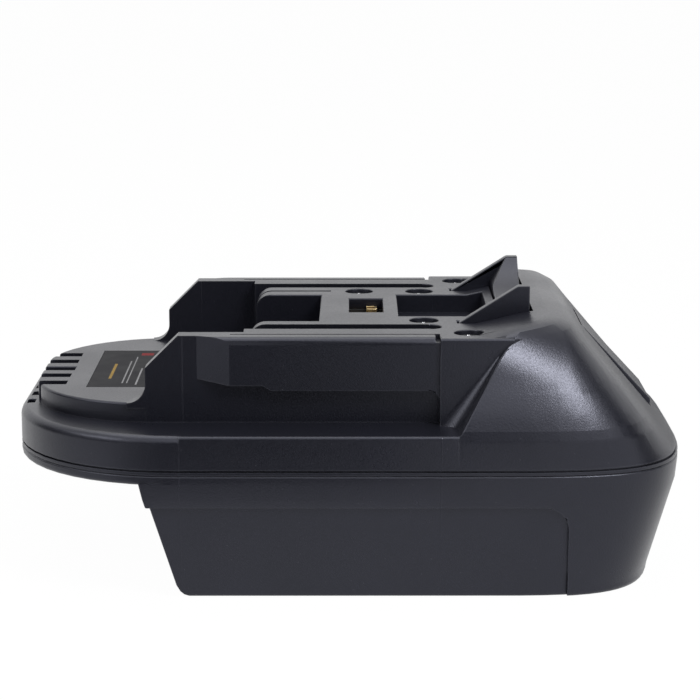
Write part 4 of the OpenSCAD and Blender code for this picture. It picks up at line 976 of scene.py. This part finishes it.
class ADAPTER_OT_stage(Operator):
    """Set the floor, the light and the camera"""

    bl_idname = "adapter.stage"
    bl_label = "Stage"

    # Each lamp's width and place, and the corners of each card, in metres
    lamps = {
        "top": (0.5, (-0.05, 0.12, 0.6)),
        "front": (0.45, (0.0, -0.42, 0.5)),
        "left": (0.4, (-0.55, -0.25, 0.35)),
        "right": (0.2, (0.298, -0.312, 0.474)),
    }
    front_profile = ((-0.1, 0.001), (-0.5, 0.001), (-0.62, 0.05), (-0.66, 0.22))
    cards = {
        "front": [(x, y, z) for y, z in front_profile for x in (-0.12, 0.015)],
        "camera": [(x, -0.68, z) for z in (0.03, 0.36) for x in (-0.45, 0.12)],
        "back": [(x, y, 0.001) for y in (0.15, 0.9) for x in (0.05, 0.6)],
        "right": [(0.45, y, z) for z in (0.06, 0.4) for y in (-0.1, 0.16)],
        "left": [(-0.42, y, z) for z in (0.001, 0.25) for y in (0.2, -0.55)],
    }

    def seen(self, tree):
        """One where the background itself is seen, straight on or mirrored, and nought where it only lights."""
        path = tree.nodes.new("ShaderNodeLightPath").outputs
        seen = path["Is Camera Ray"]
        for way in ("Is Glossy Ray", "Is Transmission Ray"):
            either = tree.nodes.new("ShaderNodeMath")
            either.operation = "MAXIMUM"
            tree.links.new(seen, either.inputs[0])
            tree.links.new(path[way], either.inputs[1])
            seen = either.outputs[0]
        return seen

    def floor(self, stage):
        """A wide pale floor that is seen as white and keeps a little of the object's shadow."""
        f = Finish("pale floor")
        half = 4.0
        corners = [(-half, -half, 0), (half, -half, 0), (half, half, 0), (-half, half, 0)]
        floor = build_piece("floor", [(np.array(corners, float), [[0, 1, 2, 3]])], [f.material])
        f.set(Base_Color=rgba(stage.floor), Roughness=0.9, Specular_IOR_Level=0.1)
        glow = f.node("Emission", {"Color": (1, 1, 1, 1), "Strength": 1.0})
        blend = f.node("MixShader")
        f.feed(blend.inputs[0], f.math("MULTIPLY", self.seen(f.tree), 0.98))
        f.feed(blend.inputs[1], f.shader.outputs[0])
        f.feed(blend.inputs[2], glow.outputs[0])
        f.feed(f.tree.nodes["Material Output"].inputs["Surface"], blend.outputs[0])

    def world(self, stage):
        """Even light from all round, which is seen as white."""
        world = bpy.data.worlds.new("pale studio")
        world.use_nodes = True
        bpy.context.scene.world = world
        tree = world.node_tree
        around = tree.nodes["Background"]
        level = tree.nodes.new("ShaderNodeMapRange")
        tree.links.new(self.seen(tree), level.inputs["Value"])
        level.inputs["To Min"].default_value = stage.ambient
        level.inputs["To Max"].default_value = 1.0
        around.inputs["Color"].default_value = (1, 1, 1, 1)
        tree.links.new(level.outputs["Result"], around.inputs["Strength"])

    def lamp(self, name, power, width, place):
        """A soft square lamp at a place, turned to the object, with its sides level and square to X."""
        data = bpy.data.lights.new(name, "AREA")
        data.energy = power
        data.shape = "SQUARE"
        data.size = width
        lamp = put_in_scene(name, data)
        away = (Vector(place) - Vector((CAD_BOX[0] + CAD_BOX[1]) / 2)).normalized()
        over = away.cross(Vector((1.0, 0.0, 0.0))).normalized()
        lamp.matrix_world = Matrix.LocRotScale(place, Matrix((over.cross(away), over, away)).transposed(), None)

    def card(self, name, stage, corners):
        """A dark card that only reflections see: a strip through pairs of corners."""
        f = Finish(name)
        f.set(Base_Color=rgba(stage.card), Roughness=0.8, Specular_IOR_Level=0.1)
        made = build_piece(name, [(np.array(corners), grid_faces(len(corners) // 2, 2))], [f.material])
        made.visible_camera = made.visible_diffuse = made.visible_shadow = False

    def execute(self, context):
        stage = context.scene.adapter_stage
        context.scene.view_settings.view_transform = "Standard"
        self.floor(stage)
        self.world(stage)
        for side, (width, place) in self.lamps.items():
            self.lamp(side + " light", getattr(stage, side + "_power"), width, place)
        for side, corners in self.cards.items():
            self.card(side + " card", stage, corners)
        data = bpy.data.cameras.new("camera")
        data.lens = stage.lens
        camera = put_in_scene("camera", data)
        camera.location = (stage.camera_side, -stage.camera_back, stage.camera_up)
        camera.rotation_euler = (stage.camera_tilt, 0, 0)
        context.scene.camera = camera
        return {"FINISHED"}


STEPS = (
    ADAPTER_OT_stage, ADAPTER_OT_housings, ADAPTER_OT_latch, ADAPTER_OT_blocks, ADAPTER_OT_contacts,
    ADAPTER_OT_springs, ADAPTER_OT_board, ADAPTER_OT_leads, ADAPTER_OT_screws, ADAPTER_OT_label,
)
SETTINGS = {
    "adapter_mouldings": AdapterMouldings,
    "adapter_metals": AdapterMetals,
    "adapter_wiring": AdapterWiring,
    "adapter_label": AdapterLabel,
    "adapter_stage": AdapterStage,
}


class ADAPTER_PT_panel(Panel):
    """Lists the steps and their sizes and colours"""

    bl_idname = "ADAPTER_PT_panel"
    bl_label = "Tool battery adapter"
    bl_space_type = "VIEW_3D"
    bl_region_type = "UI"
    bl_category = "Adapter"

    def draw(self, context):
        for step in STEPS:
            self.layout.operator(step.bl_idname)
        for name, group in SETTINGS.items():
            box = self.layout.box()
            for key in group.__annotations__:
                box.prop(getattr(context.scene, name), key)


CLASSES = (*SETTINGS.values(), *STEPS, ADAPTER_PT_panel)


def register():
    """Adds the operators, the panel and the settings."""
    for made in CLASSES:
        bpy.utils.register_class(made)
    for name, group in SETTINGS.items():
        setattr(bpy.types.Scene, name, PointerProperty(type=group))


def unregister():
    """Removes the settings, the panel and the operators."""
    for name in SETTINGS:
        delattr(bpy.types.Scene, name)
    for made in reversed(CLASSES):
        bpy.utils.unregister_class(made)


def main():
    """Runs every step in order."""
    register()
    for step in STEPS:
        family, name = step.bl_idname.split(".")
        getattr(getattr(bpy.ops, family), name)()


if __name__ == "__main__":
    main()
